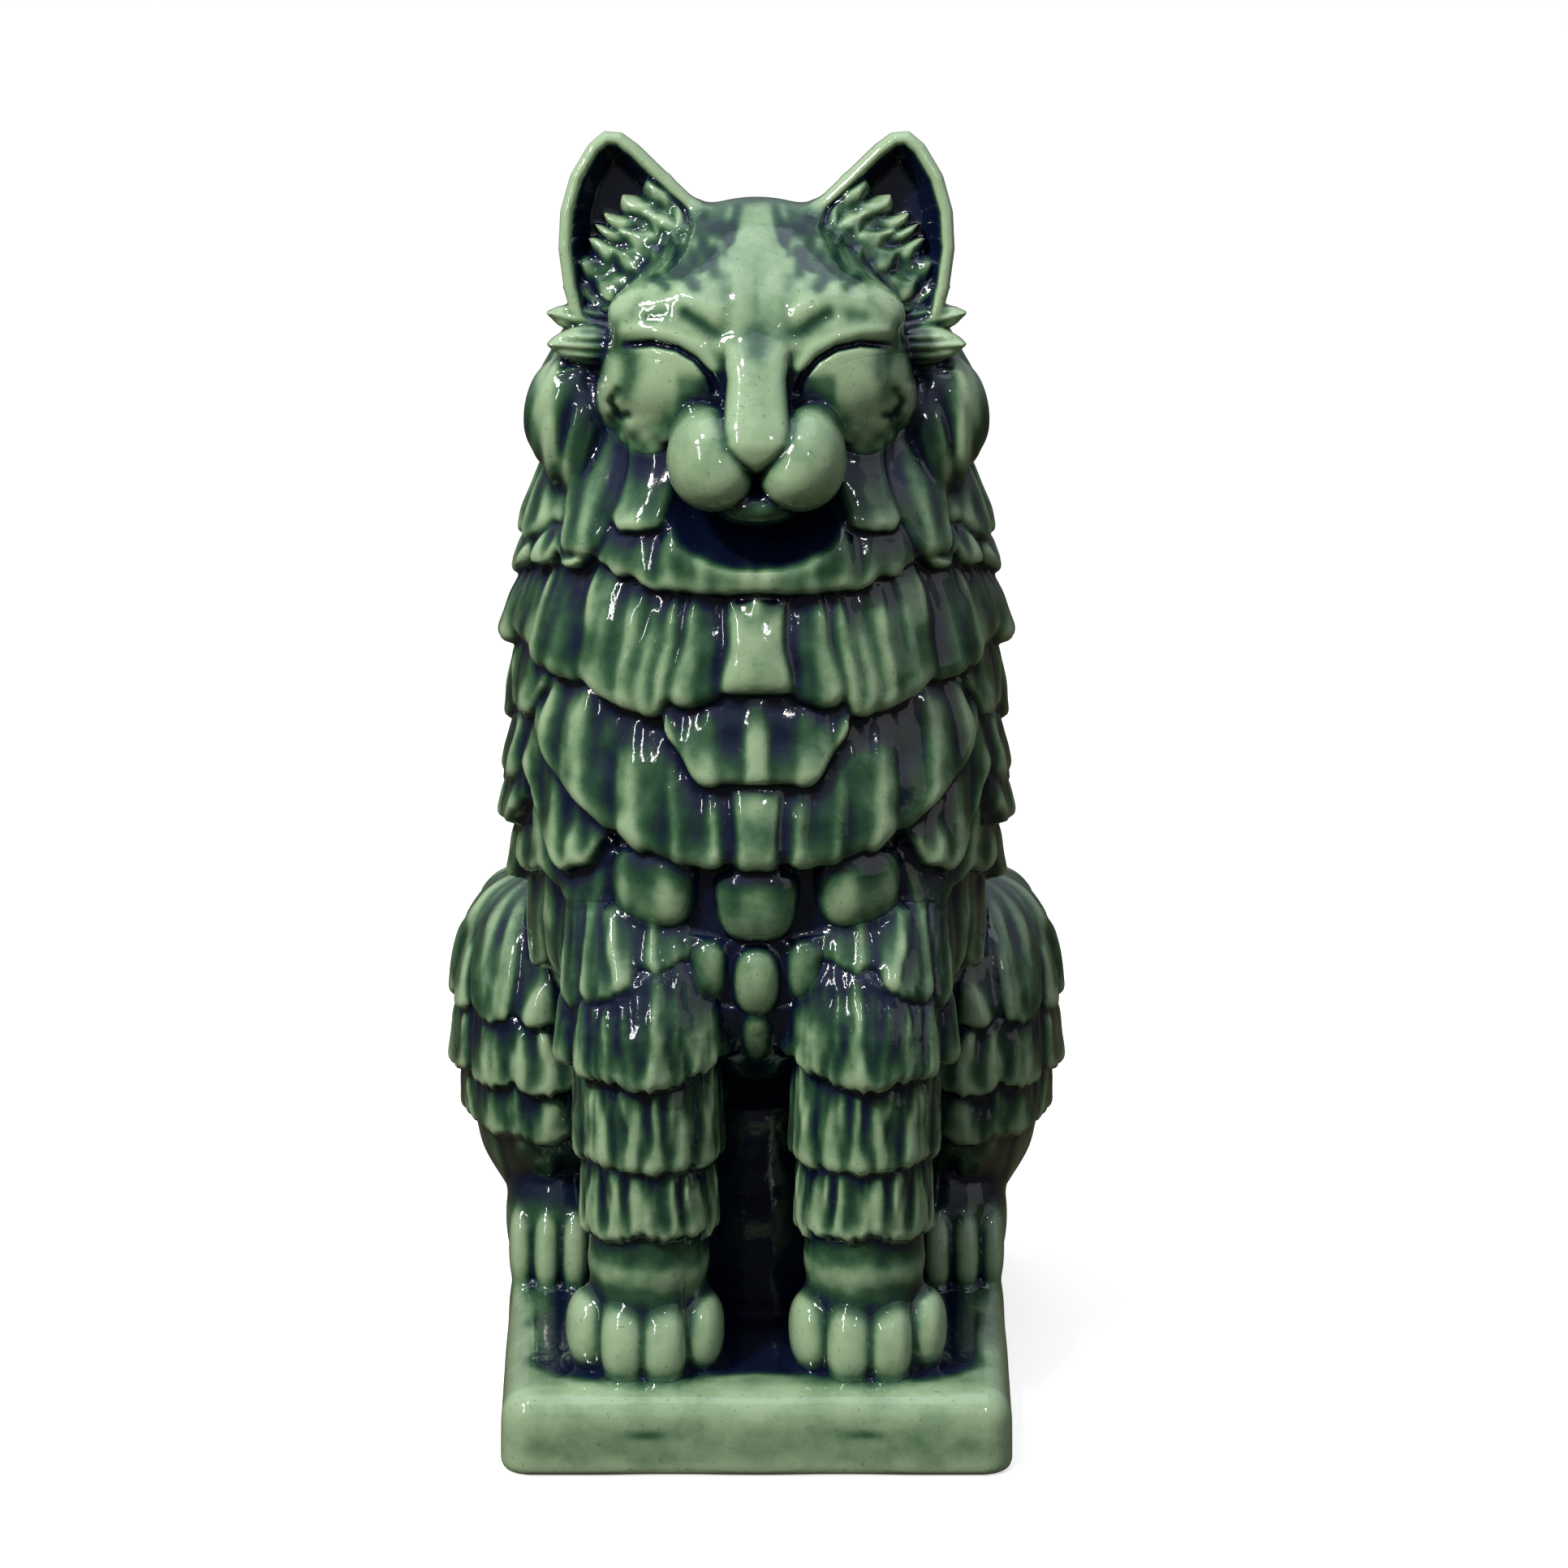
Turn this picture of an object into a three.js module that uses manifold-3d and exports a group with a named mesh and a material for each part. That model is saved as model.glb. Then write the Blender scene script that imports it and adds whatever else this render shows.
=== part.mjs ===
// A glazed stoneware guardian cat, seated on a low hollow plinth.
// The figure is hollow built: thrown and pressed clay pieces luted together with slip, dried, glazed and fired.
// Every luted piece is a mesh of its own. Millimetres, +Z up, the cat faces -Y, and X = 0 is its plane of symmetry.
// The origin lies under the middle of the plinth, on the surface that the plinth stands on.

import * as THREE from 'three';
import { mergeVertices } from 'three/addons/utils/BufferGeometryUtils.js';
import Module from 'manifold-3d';

const wasm = await Module();
wasm.setup();

// ---- Driving dimensions -------------------------------------------------------------------------------------
const JOINT_GAP = 0.35;            // the slip joint left open between two neighbouring pieces
const WALL = 8;                    // thickness of the hollow built walls

const PLINTH = { height: 26, deck: 8, frontY: -104, backY: 108, frontHalf: 78, backHalf: 88, corner: 16, bevel: 4 };
const VENT_RADIUS = 30;            // round hole through the plinth's deck into the torso

// The torso is a stack of ellipses: height, centre in Y, half width, half depth.
const TORSO = [
  [26.4, 24, 56, 56],
  [62, 23, 58, 58],
  [100, 13, 60, 62],
  [122, 0, 64, 70],
  [140, -8, 68, 75],
  [165, -12, 72, 75],
  [200, -16, 73, 72],
  [240, -20, 71, 66],
  [266, -23, 66, 61],
  [284, -30, 55, 51],
  [297, -40, 37, 35],
];

const BAND_SEGMENTS = 28;
const SEAT = 1.2;                  // slip under a fur band or fringe
const SCALLOPS = 8;                // lock tips round one band
const SCALLOP_DEPTH = 3;
const LIMB_SEGMENTS = 16;
const FRINGE_TOP = 2.5;            // how far a fringe stands off its limb at its top

// Lower edge of each band round the torso, from the top one down: at the front, at the sides, at the back.
// top and lip are how far it stands off the torso at its tucked-in top and at its flared lower edge.
const BANDS = [
  { name: 'mane_ruff', front: 267, side: 276, back: 262, top: 22, lip: 11, seat: 3 },
  { name: 'chest_band', front: 234, side: 237, back: 228, top: 3.5, lip: 9 },
  { name: 'swag_band', front: 186, side: 190, back: 192, top: 3.5, lip: 9 },
  { name: 'rib_band', front: 164, side: 158, back: 158, top: 3.5, lip: 9 },
  { name: 'belly_band', front: 141, side: 132, back: 124, top: 3, lip: 7 },
  { name: 'rump_band', front: 118, side: 100, back: 86, top: 3, lip: 8 },
];
const RUMP_FRONT = 8;              // the rump band ends at the haunches
const CHIN_BOWL = { y: -94, z: 290, half: 27, depth: 15, height: 15 };
const MANE_TOP = 300;

const FORELEG = { x: 33, y: -70, half: 17.5, depth: 18.5, bottom: 46, top: 158, taper: 1.12 };
const FORELEG_FRINGES = [
  { name: 'elbow_fringe', top: 157, low: 118, lip: 9 },
  { name: 'forearm_fringe', top: 117.4, low: 90.5, lip: 5 },
  { name: 'wrist_fringe', top: 89.9, low: 69, lip: 4.5 },
];
const FOREPAW = { x: 34, y: -72, half: 24, depth: 22, height: 25, toes: 4, toeHalf: 6.6, toeReach: -85 };

const HAUNCH = { x: 68, y: 33, z: 98, half: 28, depth: 50, height: 60 };
const HAUNCH_FRINGES = [
  { name: 'haunch_fringe_upper', top: 148, low: 118, lip: 7.5 },
  { name: 'haunch_fringe_middle', top: 117.4, low: 96, lip: 7 },
  { name: 'haunch_fringe_lower', top: 95.4, low: 77, lip: 5.5 },
];
const HAUNCH_SEAT = 1.6;           // slip under a haunch fringe, where it bridges the round of the haunch
const HINDPAW = { x: 66, y: 19, half: 16.5, depth: 22, height: 38, toes: 3, toeHalf: 5.6, toeReach: 6 };

const SKULL = { y: -44, z: 332, half: 46, depth: 44, height: 49, neck: 297.4 };
const EAR = { x: 38, y: -48, z: 364, half: 25, depth: 12, height: 36, tip: 0.62, lean: 9, scoop: 5 };
// The mane behind the head, as ellipses: height, centre in Y, half width, half depth.
const NAPE = [
  [300.5, -38, 62, 54],
  [322, -38, 64, 56],
  [346, -40, 57, 51],
  [364, -43, 44, 40],
  [376, -44, 28, 24],
];
const NAPE_FRONT = -40;
const NAPE_SEGMENTS = 20;
const TAIL = { radius: 15, baseY: 86, tipZ: 168 };

const GLAZE = { pale: 0x9dbb93, mid: 0x47714f, dark: 0x20284a };

// ---- Solids -------------------------------------------------------------------------------------------------
const rad = THREE.MathUtils.degToRad;

// A closed three.js geometry as a manifold solid.
function solid(geometry) {
  const bare = geometry.index ? geometry.toNonIndexed() : geometry.clone();
  bare.deleteAttribute('normal');
  bare.deleteAttribute('uv');
  const merged = mergeVertices(bare, 1e-3);
  return new wasm.Manifold(new wasm.Mesh({
    numProp: 3,
    vertProperties: new Float32Array(merged.attributes.position.array),
    triVerts: new Uint32Array(merged.index.array),
  }));
}

// A manifold solid as a three.js geometry.
function geometryOf(made) {
  const mesh = made.getMesh();
  const geometry = new THREE.BufferGeometry();
  geometry.setAttribute('position', new THREE.BufferAttribute(new Float32Array(mesh.vertProperties), 3));
  geometry.setIndex(new THREE.BufferAttribute(new Uint32Array(mesh.triVerts), 1));
  geometry.computeVertexNormals();
  return geometry;
}

// An ellipsoid. turn holds degrees about X, Y and Z, and tip is how much its upper half narrows towards a point.
function ball(centre, radii, { turn = [0, 0, 0], grow = 0, around = 14, up = 9, tip = 0 } = {}) {
  const geometry = new THREE.SphereGeometry(1, around, up);
  geometry.rotateX(Math.PI / 2);
  const unit = geometry.attributes.position;
  for (let i = 0; i < unit.count; i++) unit.setX(i, unit.getX(i) * (1 - tip * Math.max(unit.getZ(i), 0) ** 1.5));
  geometry.scale(radii[0] + grow, radii[1] + grow, radii[2] + grow);
  geometry.rotateX(rad(turn[0]));
  geometry.rotateY(rad(turn[1]));
  geometry.rotateZ(rad(turn[2]));
  geometry.translate(...centre);
  return solid(geometry);
}

function block(low, high) {
  const size = high.map((h, i) => h - low[i]);
  const geometry = new THREE.BoxGeometry(...size);
  geometry.translate(...low.map((l, i) => l + size[i] / 2));
  return solid(geometry);
}

const EVERYWHERE = 300;
const above = (z) => block([-EVERYWHERE, -EVERYWHERE, z], [EVERYWHERE, EVERYWHERE, 2 * EVERYWHERE]);
const behind = (y) => block([-EVERYWHERE, y, -EVERYWHERE], [EVERYWHERE, EVERYWHERE, 2 * EVERYWHERE]);
const union = (parts) => parts.reduce((whole, part) => whole.add(part));

// A profile of [radius, height] pairs, turned round Z and then moved point by point by place(angle, radius, height).
// The angle is 0 at the front, -Y, and grows towards +X.
function turned(profile, segments, place) {
  const points = [...profile, profile[0]].map(([r, z]) => new THREE.Vector2(r, z));
  const geometry = new THREE.LatheGeometry(points, segments);
  geometry.rotateX(Math.PI / 2);
  const position = geometry.attributes.position;
  const step = (2 * Math.PI) / segments;
  const rows = points.length;
  for (let i = 0; i < position.count; i++) {
    const column = Math.floor(i / rows) % segments;
    const [r, z] = points[i % rows].toArray();
    position.setXYZ(i, ...place(column * step, r, z));
  }
  return solid(geometry);
}

// The ellipse of a stack at a height.
function ellipseAt(stack, z) {
  let i = 0;
  while (i < stack.length - 2 && z > stack[i + 1][0]) i++;
  const [low, high] = [stack[i], stack[i + 1]];
  const share = THREE.MathUtils.clamp((z - low[0]) / (high[0] - low[0]), 0, 1);
  return low.map((value, k) => THREE.MathUtils.lerp(value, high[k], share));
}

// A point that stands off the torso's wall at an angle and a height.
function onTorso(angle, off, z) {
  const [, cy, half, depth] = ellipseAt(TORSO, z);
  return [(half + off) * Math.sin(angle), cy - (depth + off) * Math.cos(angle), z];
}

// The hollow torso, open below into the plinth and above into the neck. A cutter is a solid plug of the same shape.
function torsoShell(grow = 0) {
  const [foot, neck] = [TORSO[0][0], TORSO.at(-1)[0]];
  const outer = TORSO.map(([z]) => [grow, z]);
  const inner = [neck, 266, 200, 140, 100, foot].map((z) => [-WALL, z]);
  const plug = [[-WALL, neck], [-WALL, foot]];
  return turned([...outer, ...(grow ? plug : inner)], BAND_SEGMENTS, onTorso);
}

// The height of a band's edge at an angle: it runs smoothly from front to side to back, with scallops below.
function edgeAt(band, angle) {
  const forward = Math.cos(angle);
  const reach = forward > 0 ? band.front - band.side : band.back - band.side;
  return band.side + reach * forward * forward - SCALLOP_DEPTH * Math.abs(Math.sin((SCALLOPS * angle) / 2));
}

// A fur band that wraps the torso. The profile's second number is a share of its height, from lip to top.
function torsoBand(index, grow = 0) {
  const band = BANDS[index];
  const gap = JOINT_GAP + 0.1;
  const upper = (angle) => (index ? edgeAt(BANDS[index - 1], angle) - gap : MANE_TOP);
  const seat = (band.seat ?? SEAT) - 2 * grow;
  const outer = [[band.lip + grow, 0], [band.lip + grow, 0.3], [band.top + grow, 1]];
  return turned([[seat, 0], ...outer, [seat, 1], [seat, 0.5]], BAND_SEGMENTS, (angle, off, share) => {
    const z = THREE.MathUtils.lerp(edgeAt(band, angle) - grow, upper(angle) + grow, share);
    return onTorso(angle, off, z);
  });
}

// The ruff's front is scooped out into a bowl under the chin.
function maneRuff(grow = 0) {
  const { y, z, half, depth, height } = CHIN_BOWL;
  return torsoBand(0, grow).subtract(ball([0, y, z], [half, depth, height], { grow: -grow, around: 12, up: 8 }));
}

const rumpBand = (grow = 0) => torsoBand(BANDS.length - 1, grow).intersect(behind(RUMP_FRONT - grow));

// How much wider a limb column is at a height than at its foot.
const taperAt = (z, low, high, taper) => THREE.MathUtils.mapLinear(z, low, high, 1, taper);

// An upright limb of elliptical section, tapered from its top to its foot.
function column({ x, y, half, depth, bottom, top, taper = 1.12 }, grow = 0) {
  const profile = [[0, bottom], [1, bottom], [1, top], [0, top]];
  return turned(profile, LIMB_SEGMENTS, (angle, out, z) => {
    const wide = taperAt(z, bottom, top, taper);
    const shift = z === top ? grow : -grow;
    return [x + out * (half * wide + grow) * Math.sin(angle), y - out * (depth * wide + grow) * Math.cos(angle), z + shift];
  });
}

// A ring of fur locks round an upright axis. shape(z) gives the half width and half depth of what it is luted on.
function fringe({ top, low, lip }, axis, shape, { grow = 0, seat = SEAT, scallops = 6 } = {}) {
  const inside = seat - 2 * grow;
  const profile = [[inside, 0], [lip + grow, 0], [lip + grow, 0.25], [FRINGE_TOP + grow, 1], [inside, 1], [inside, 0.5]];
  return turned(profile, LIMB_SEGMENTS, (angle, off, share) => {
    const edge = low + SCALLOP_DEPTH * (1 - Math.abs(Math.sin((scallops * angle) / 2)));
    const z = THREE.MathUtils.lerp(edge - grow, top + grow, share);
    const [half, depth] = shape(z);
    return [axis[0] + (half + off) * Math.sin(angle), axis[1] - (depth + off) * Math.cos(angle), z];
  });
}

// ---- Plinth -------------------------------------------------------------------------------------------------
function plinthOutline(inset) {
  const { frontY, backY, frontHalf, backHalf, corner } = PLINTH;
  const corners = [[-frontHalf, frontY], [frontHalf, frontY], [backHalf, backY], [-backHalf, backY]];
  const inner = corners.map(([x, y]) => new THREE.Vector2(x - Math.sign(x) * inset, y - Math.sign(y) * inset));
  const radius = Math.max(corner - inset, 5);
  const shape = new THREE.Shape();
  inner.forEach((point, i) => {
    const before = inner[(i + 3) % 4];
    const after = inner[(i + 1) % 4];
    const start = point.clone().add(before.clone().sub(point).setLength(radius));
    const end = point.clone().add(after.clone().sub(point).setLength(radius));
    if (i === 0) shape.moveTo(start.x, start.y);
    else shape.lineTo(start.x, start.y);
    shape.quadraticCurveTo(point.x, point.y, end.x, end.y);
  });
  return shape;
}

function plinth(grow = 0) {
  const { height, deck, bevel } = PLINTH;
  const slab = new THREE.ExtrudeGeometry(plinthOutline(bevel), {
    depth: height - 2 * bevel, bevelThickness: bevel, bevelSize: bevel + grow, bevelSegments: 2, curveSegments: 5,
  });
  slab.translate(0, 0, bevel);
  if (grow) return solid(slab).add(solid(slab.clone().translate(0, 0, grow)));
  const hollow = new THREE.ExtrudeGeometry(plinthOutline(WALL + 1), {
    depth: height - deck + 1, bevelEnabled: false, curveSegments: 4,
  });
  hollow.translate(0, 0, -1);
  const vent = new THREE.CylinderGeometry(VENT_RADIUS, VENT_RADIUS, 3 * height, 24);
  vent.rotateX(Math.PI / 2);
  vent.translate(0, TORSO[0][1], height / 2);
  return solid(slab).subtract(solid(hollow)).subtract(solid(vent));
}

// ---- Head ---------------------------------------------------------------------------------------------------
function skull(grow = 0) {
  const { y, z, half, depth, height, neck } = SKULL;
  const outer = ball([0, y, z], [half, depth, height], { grow, around: 16, up: 10 });
  const cut = outer.intersect(above(neck - grow));
  if (grow) return cut;
  const hollow = ball([0, y, z], [half - WALL, depth - WALL, height - WALL], { around: 12, up: 8 });
  const neckHole = column({ x: 0, y: y + 2, half: 24, depth: 22, bottom: neck - 20, top: z, taper: 1 });
  return cut.subtract(hollow).subtract(neckHole);
}

function ear(side, grow = 0) {
  const { x, y, z, half, depth, height, tip, lean, scoop } = EAR;
  const pose = { turn: [4, side * lean, 0], tip };
  const outer = ball([side * x, y, z], [half, depth, height], { ...pose, grow, around: 16, up: 10 });
  const inner = [half - scoop, depth + 1, height - scoop];
  return outer.subtract(ball([side * (x - 0.5), y - 9, z], inner, { ...pose, grow: -grow, around: 12, up: 8 }));
}

function earTuft(side, grow = 0) {
  const lock = (i) => {
    const turn = [0, side * (46 - 18 * i), 0];
    return ball([side * (29 + 2.5 * i), EAR.y - 7, 375 - 7.5 * i], [14, 5, 5], { turn, grow, around: 8, up: 5 });
  };
  return union([0, 1, 2, 3].map(lock));
}

function whiskerPad(side, grow = 0) {
  return ball([side * 15, -94.5, 307.5], [13.2, 13, 15.5], { turn: [0, side * -16, 0], grow, around: 12, up: 8 });
}

function noseBridge(grow = 0) {
  const bridge = ball([0, -88, 326], [11, 12, 25], { turn: [-18, 0, 0], grow, around: 12, up: 8 });
  return bridge.add(ball([0, -100, 310], [9.5, 8, 8], { grow, around: 12, up: 8 }));
}

function cheek(side, grow = 0) {
  return ball([side * 31, -72, 323], [17, 17, 18], { grow, around: 12, up: 8 });
}

function cheekTuft(side, grow = 0) {
  const upper = ball([side * 53, -50, 347], [13, 6, 5], { turn: [0, side * -18, 0], grow, around: 8, up: 6 });
  return upper.add(ball([side * 53, -51, 339], [12, 7, 5.5], { turn: [0, side * -4, 0], grow, around: 8, up: 6 }));
}

function maneLobe(side, grow = 0) {
  return ball([side * 56, -50, 312], [16, 16, 20.5], { turn: [0, side * -6, 0], grow, around: 12, up: 8 });
}

function napeMane(grow = 0) {
  const [foot, crown] = [NAPE[0][0], NAPE.at(-1)[0]];
  const profile = [[0, foot], ...NAPE.map(([z]) => [1, z]), [0, crown]];
  const hood = turned(profile, NAPE_SEGMENTS, (angle, out, z) => {
    const [, cy, half, depth] = ellipseAt(NAPE, z);
    const end = z === foot ? -grow : z === crown ? grow : 0;
    return [out * (half + grow) * Math.sin(angle), cy - out * (depth + grow) * Math.cos(angle), z + end];
  });
  return hood.intersect(behind(NAPE_FRONT - grow));
}

// ---- Limbs and tail -----------------------------------------------------------------------------------------
const foreleg = (side, grow = 0) => column({ ...FORELEG, x: side * FORELEG.x }, grow);

function forelegFringe(index, side, grow = 0) {
  const { x, y, half, depth, bottom, top, taper } = FORELEG;
  const shape = (z) => [half, depth].map((r) => r * taperAt(z, bottom, top, taper));
  return fringe(FORELEG_FRINGES[index], [side * x, y], shape, { grow });
}

// A rounded paw with a row of toes along its front, flat underneath.
function paw(spec, side, grow = 0) {
  const floor = PLINTH.height + JOINT_GAP + 0.1 - grow;
  const parts = [ball([side * spec.x, spec.y, floor + 3], [spec.half, spec.depth, spec.height - 3], { grow, around: 12, up: 8 })];
  const spread = (2 * (spec.half - spec.toeHalf)) / (spec.toes - 1);
  for (let i = 0; i < spec.toes; i++) {
    const across = -(spec.half - spec.toeHalf) + i * spread;
    const back = (across / spec.half) ** 2 * 9;
    parts.push(ball([side * spec.x + across, spec.toeReach + back, floor + 7], [spec.toeHalf, 11, 9.5], { grow, around: 8, up: 6 }));
  }
  return union(parts).intersect(above(floor));
}

function haunch(side, grow = 0) {
  const { x, y, z, half, depth, height } = HAUNCH;
  return ball([side * x, y, z], [half, depth, height], { grow, around: LIMB_SEGMENTS, up: 10 });
}

function haunchFringe(index, side, grow = 0) {
  const { x, y, z, half, depth, height } = HAUNCH;
  const share = (h) => Math.sqrt(Math.max(1 - ((h - z) / height) ** 2, 0.04));
  return fringe(HAUNCH_FRINGES[index], [side * x, y], (h) => [half * share(h), depth * share(h)],
    { grow, seat: HAUNCH_SEAT, scallops: 8 });
}

// A brush of locks that rises from the plinth against the lower back.
function tail(part, grow = 0) {
  const { radius, baseY, tipZ } = TAIL;
  const floor = PLINTH.height + JOINT_GAP + 0.1 - grow;
  if (part === 'root') {
    return ball([0, baseY - 2, 46], [radius + 2, radius + 3, 26], { grow, around: 12, up: 8 }).intersect(above(floor));
  }
  return union([
    ball([0, baseY - 2, 96], [radius + 3, radius + 3, 34], { turn: [6, 0, 0], grow, around: 12, up: 8 }),
    ball([0, baseY - 14, tipZ - 28], [radius - 2, radius - 2, 28], { turn: [16, 0, 0], grow, around: 10, up: 7 }),
  ]);
}

// ---- Assembly -----------------------------------------------------------------------------------------------
const SIDES = [['left', 1], ['right', -1]];
const bothSides = (name, make) => SIDES.map(([word, side]) => ({ name: `${word}_${name}`, make: (grow) => make(side, grow) }));

// In this order each piece keeps its own shape, and a later piece is cut back to leave the slip joint.
const pieces = [
  { name: 'plinth', make: plinth, glaze: GLAZE.pale },
  { name: 'torso_shell', make: torsoShell, glaze: GLAZE.dark },
  { name: 'skull', make: skull, glaze: GLAZE.pale },
  { name: 'mane_ruff', make: maneRuff },
  ...BANDS.slice(1, -1).map((band, i) => ({ name: band.name, make: (grow) => torsoBand(i + 1, grow) })),
  { name: 'rump_band', make: rumpBand },
  { name: 'chest_bib', make: (grow = 0) => ball([0, -90, 223], [25, 11, 15], { grow, around: 12, up: 8 }) },
  { name: 'belly_drop', make: (grow = 0) => ball([0, -68, 122], [12, 13, 15], { grow, around: 10, up: 8 }) },
  { name: 'nose_bridge', make: noseBridge, glaze: GLAZE.pale },
  ...bothSides('whisker_pad', whiskerPad),
  { name: 'chin', make: (grow = 0) => ball([0, -88, 295.5], [11.5, 11, 6.5], { grow, around: 10, up: 7 }) },
  ...bothSides('cheek', cheek),
  ...bothSides('ear', ear),
  ...bothSides('ear_tuft', earTuft),
  ...bothSides('cheek_tuft', cheekTuft),
  ...bothSides('mane_lobe', maneLobe),
  { name: 'nape_mane', make: napeMane },
  ...bothSides('foreleg', foreleg),
  ...FORELEG_FRINGES.flatMap((f, i) => bothSides(f.name, (side, grow) => forelegFringe(i, side, grow))),
  ...bothSides('forepaw', (side, grow) => paw(FOREPAW, side, grow)),
  ...bothSides('haunch', haunch),
  ...bothSides('hind_paw', (side, grow) => paw(HINDPAW, side, grow)),
  ...HAUNCH_FRINGES.flatMap((f, i) => bothSides(f.name, (side, grow) => haunchFringe(i, side, grow))),
  { name: 'tail_root', make: (grow) => tail('root', grow) },
  { name: 'tail_plume', make: (grow) => tail('plume', grow) },
];

const meet = (a, b) => a.min.every((low, k) => low < b.max[k]) && a.max.every((high, k) => high > b.min[k]);

const cat = new THREE.Group();
const placed = [];
for (const { name, make, glaze = GLAZE.mid } of pieces) {
  let body = make(0);
  for (const cutter of placed) {
    if (meet(body.boundingBox(), cutter.boundingBox())) body = body.subtract(cutter);
  }
  // A cut can leave crumbs beside the piece; the piece is its largest body.
  const whole = body.decompose().sort((a, b) => b.volume() - a.volume())[0];
  const mesh = new THREE.Mesh(geometryOf(whole), new THREE.MeshStandardMaterial({ color: glaze, roughness: 0.12, metalness: 0 }));
  mesh.name = name;
  cat.add(mesh);
  placed.push(make(JOINT_GAP));
}

export default cat;
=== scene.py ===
"""Looks of the glazed guardian cat: every clay piece is a distance field that is meshed."""
import math

import bpy
import numpy as np
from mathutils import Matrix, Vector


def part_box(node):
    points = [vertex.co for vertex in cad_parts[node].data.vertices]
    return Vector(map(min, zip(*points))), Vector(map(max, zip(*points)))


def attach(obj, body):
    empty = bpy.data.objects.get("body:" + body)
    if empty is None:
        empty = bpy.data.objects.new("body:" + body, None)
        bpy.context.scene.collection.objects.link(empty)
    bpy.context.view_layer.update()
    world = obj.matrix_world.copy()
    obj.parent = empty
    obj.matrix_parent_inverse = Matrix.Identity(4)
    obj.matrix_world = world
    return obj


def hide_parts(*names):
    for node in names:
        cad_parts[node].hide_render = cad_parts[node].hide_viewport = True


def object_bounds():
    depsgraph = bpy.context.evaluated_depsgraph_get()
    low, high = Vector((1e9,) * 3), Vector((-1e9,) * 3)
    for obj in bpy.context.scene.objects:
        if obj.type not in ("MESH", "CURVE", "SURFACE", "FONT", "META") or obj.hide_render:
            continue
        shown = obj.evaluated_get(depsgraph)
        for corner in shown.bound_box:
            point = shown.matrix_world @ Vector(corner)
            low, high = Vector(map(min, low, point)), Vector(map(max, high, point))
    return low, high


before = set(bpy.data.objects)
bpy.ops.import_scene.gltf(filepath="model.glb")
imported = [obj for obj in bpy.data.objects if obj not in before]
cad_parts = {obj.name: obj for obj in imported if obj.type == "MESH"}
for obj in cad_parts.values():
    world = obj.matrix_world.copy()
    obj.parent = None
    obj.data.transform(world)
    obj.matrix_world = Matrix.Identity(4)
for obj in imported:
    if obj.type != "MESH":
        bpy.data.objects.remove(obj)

import openvdb
from mathutils import Vector

CAD_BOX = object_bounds()
F = np.float32
BODY_STEP = 1.0      # mm between samples of the body
HEAD_STEP = 0.6      # and of the head
COAT_STEP = 0.4      # degrees and mm between samples of a fur coat
FACE_STEP = 0.3      # mm between samples of the face's lines
REACH = 9.0          # mm round a piece over which it blends with its neighbours
FAR = 60.0           # mm, further than any piece reaches
DIP = 0.35           # how fast a piece dips under a neighbour
SKIRT = 3.2          # mm that it goes on under one
CORE = 5.0           # mm under a coat's wall where the limb itself takes over from its fur
WALL = 9.0           # mm from the torso's wall to its hollow


def box(node):
    """A CAD node's lowest and highest corner, in mm."""
    low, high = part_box(node)
    return np.array(low) * 1000, np.array(high) * 1000


def middle(node):
    low, high = box(node)
    return (low + high) / 2


# ---- Numbers along a line ----
def smooth(t):
    t = np.clip(t, 0, 1)
    return t * t * (3 - 2 * t)


def smin(a, b, k):
    h = np.maximum(k - np.abs(a - b), 0) / k
    return np.minimum(a, b) - h * h * k / 4


def smax(a, b, k):
    return -smin(-a, -b, k)


def curve(points, at):
    """A line through (position, value) points."""
    points = np.array(sorted(points), float)
    return np.interp(at, points[:, 0], points[:, 1])


def wave(points, at):
    """Like curve, with rounded crests and troughs."""
    points = np.array(sorted(points), float)
    k = np.clip(np.searchsorted(points[:, 0], at) - 1, 0, len(points) - 2)
    t = smooth((at - points[k, 0]) / np.maximum(points[k + 1, 0] - points[k, 0], 1e-6))
    return points[k, 1] * (1 - t) + points[k + 1, 1] * t


def soften(field, radius, axis, wrap=False):
    """A moving average along one axis, run twice."""
    radius = int(max(radius, 0))
    if radius == 0:
        return field
    for _ in range(2):
        pad = [(0, 0)] * field.ndim
        pad[axis] = (radius + 1, radius)
        padded = np.pad(field, pad, mode="wrap" if wrap else "edge")
        total = np.cumsum(padded, axis=axis, dtype=np.float64)
        n = field.shape[axis]
        upper = np.take(total, range(2 * radius + 1, 2 * radius + 1 + n), axis=axis)
        lower = np.take(total, range(0, n), axis=axis)
        field = ((upper - lower) / (2 * radius + 1)).astype(F)
    return field


def cloud(u, v, seed):
    """Smooth noise from -1 to 1 over two coordinates."""
    table = np.random.default_rng(seed).uniform(-1, 1, (64, 64)).astype(F)
    iu, iv = np.floor(u).astype(int), np.floor(v).astype(int)
    fu, fv = smooth(u - iu), smooth(v - iv)
    low = table[iu % 64, iv % 64] * (1 - fu) + table[(iu + 1) % 64, iv % 64] * fu
    high = table[iu % 64, (iv + 1) % 64] * (1 - fu) + table[(iu + 1) % 64, (iv + 1) % 64] * fu
    return low * (1 - fv) + high * fv


# ---- A fur coat, unrolled to angle and height ----
# Glaze shades run from 1 for pale over 0 for green to -1 for navy; besides the glaze's own colours
# they hold painted shade under overhanging rows, on pad tops and towards the bottom of the figure.


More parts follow.
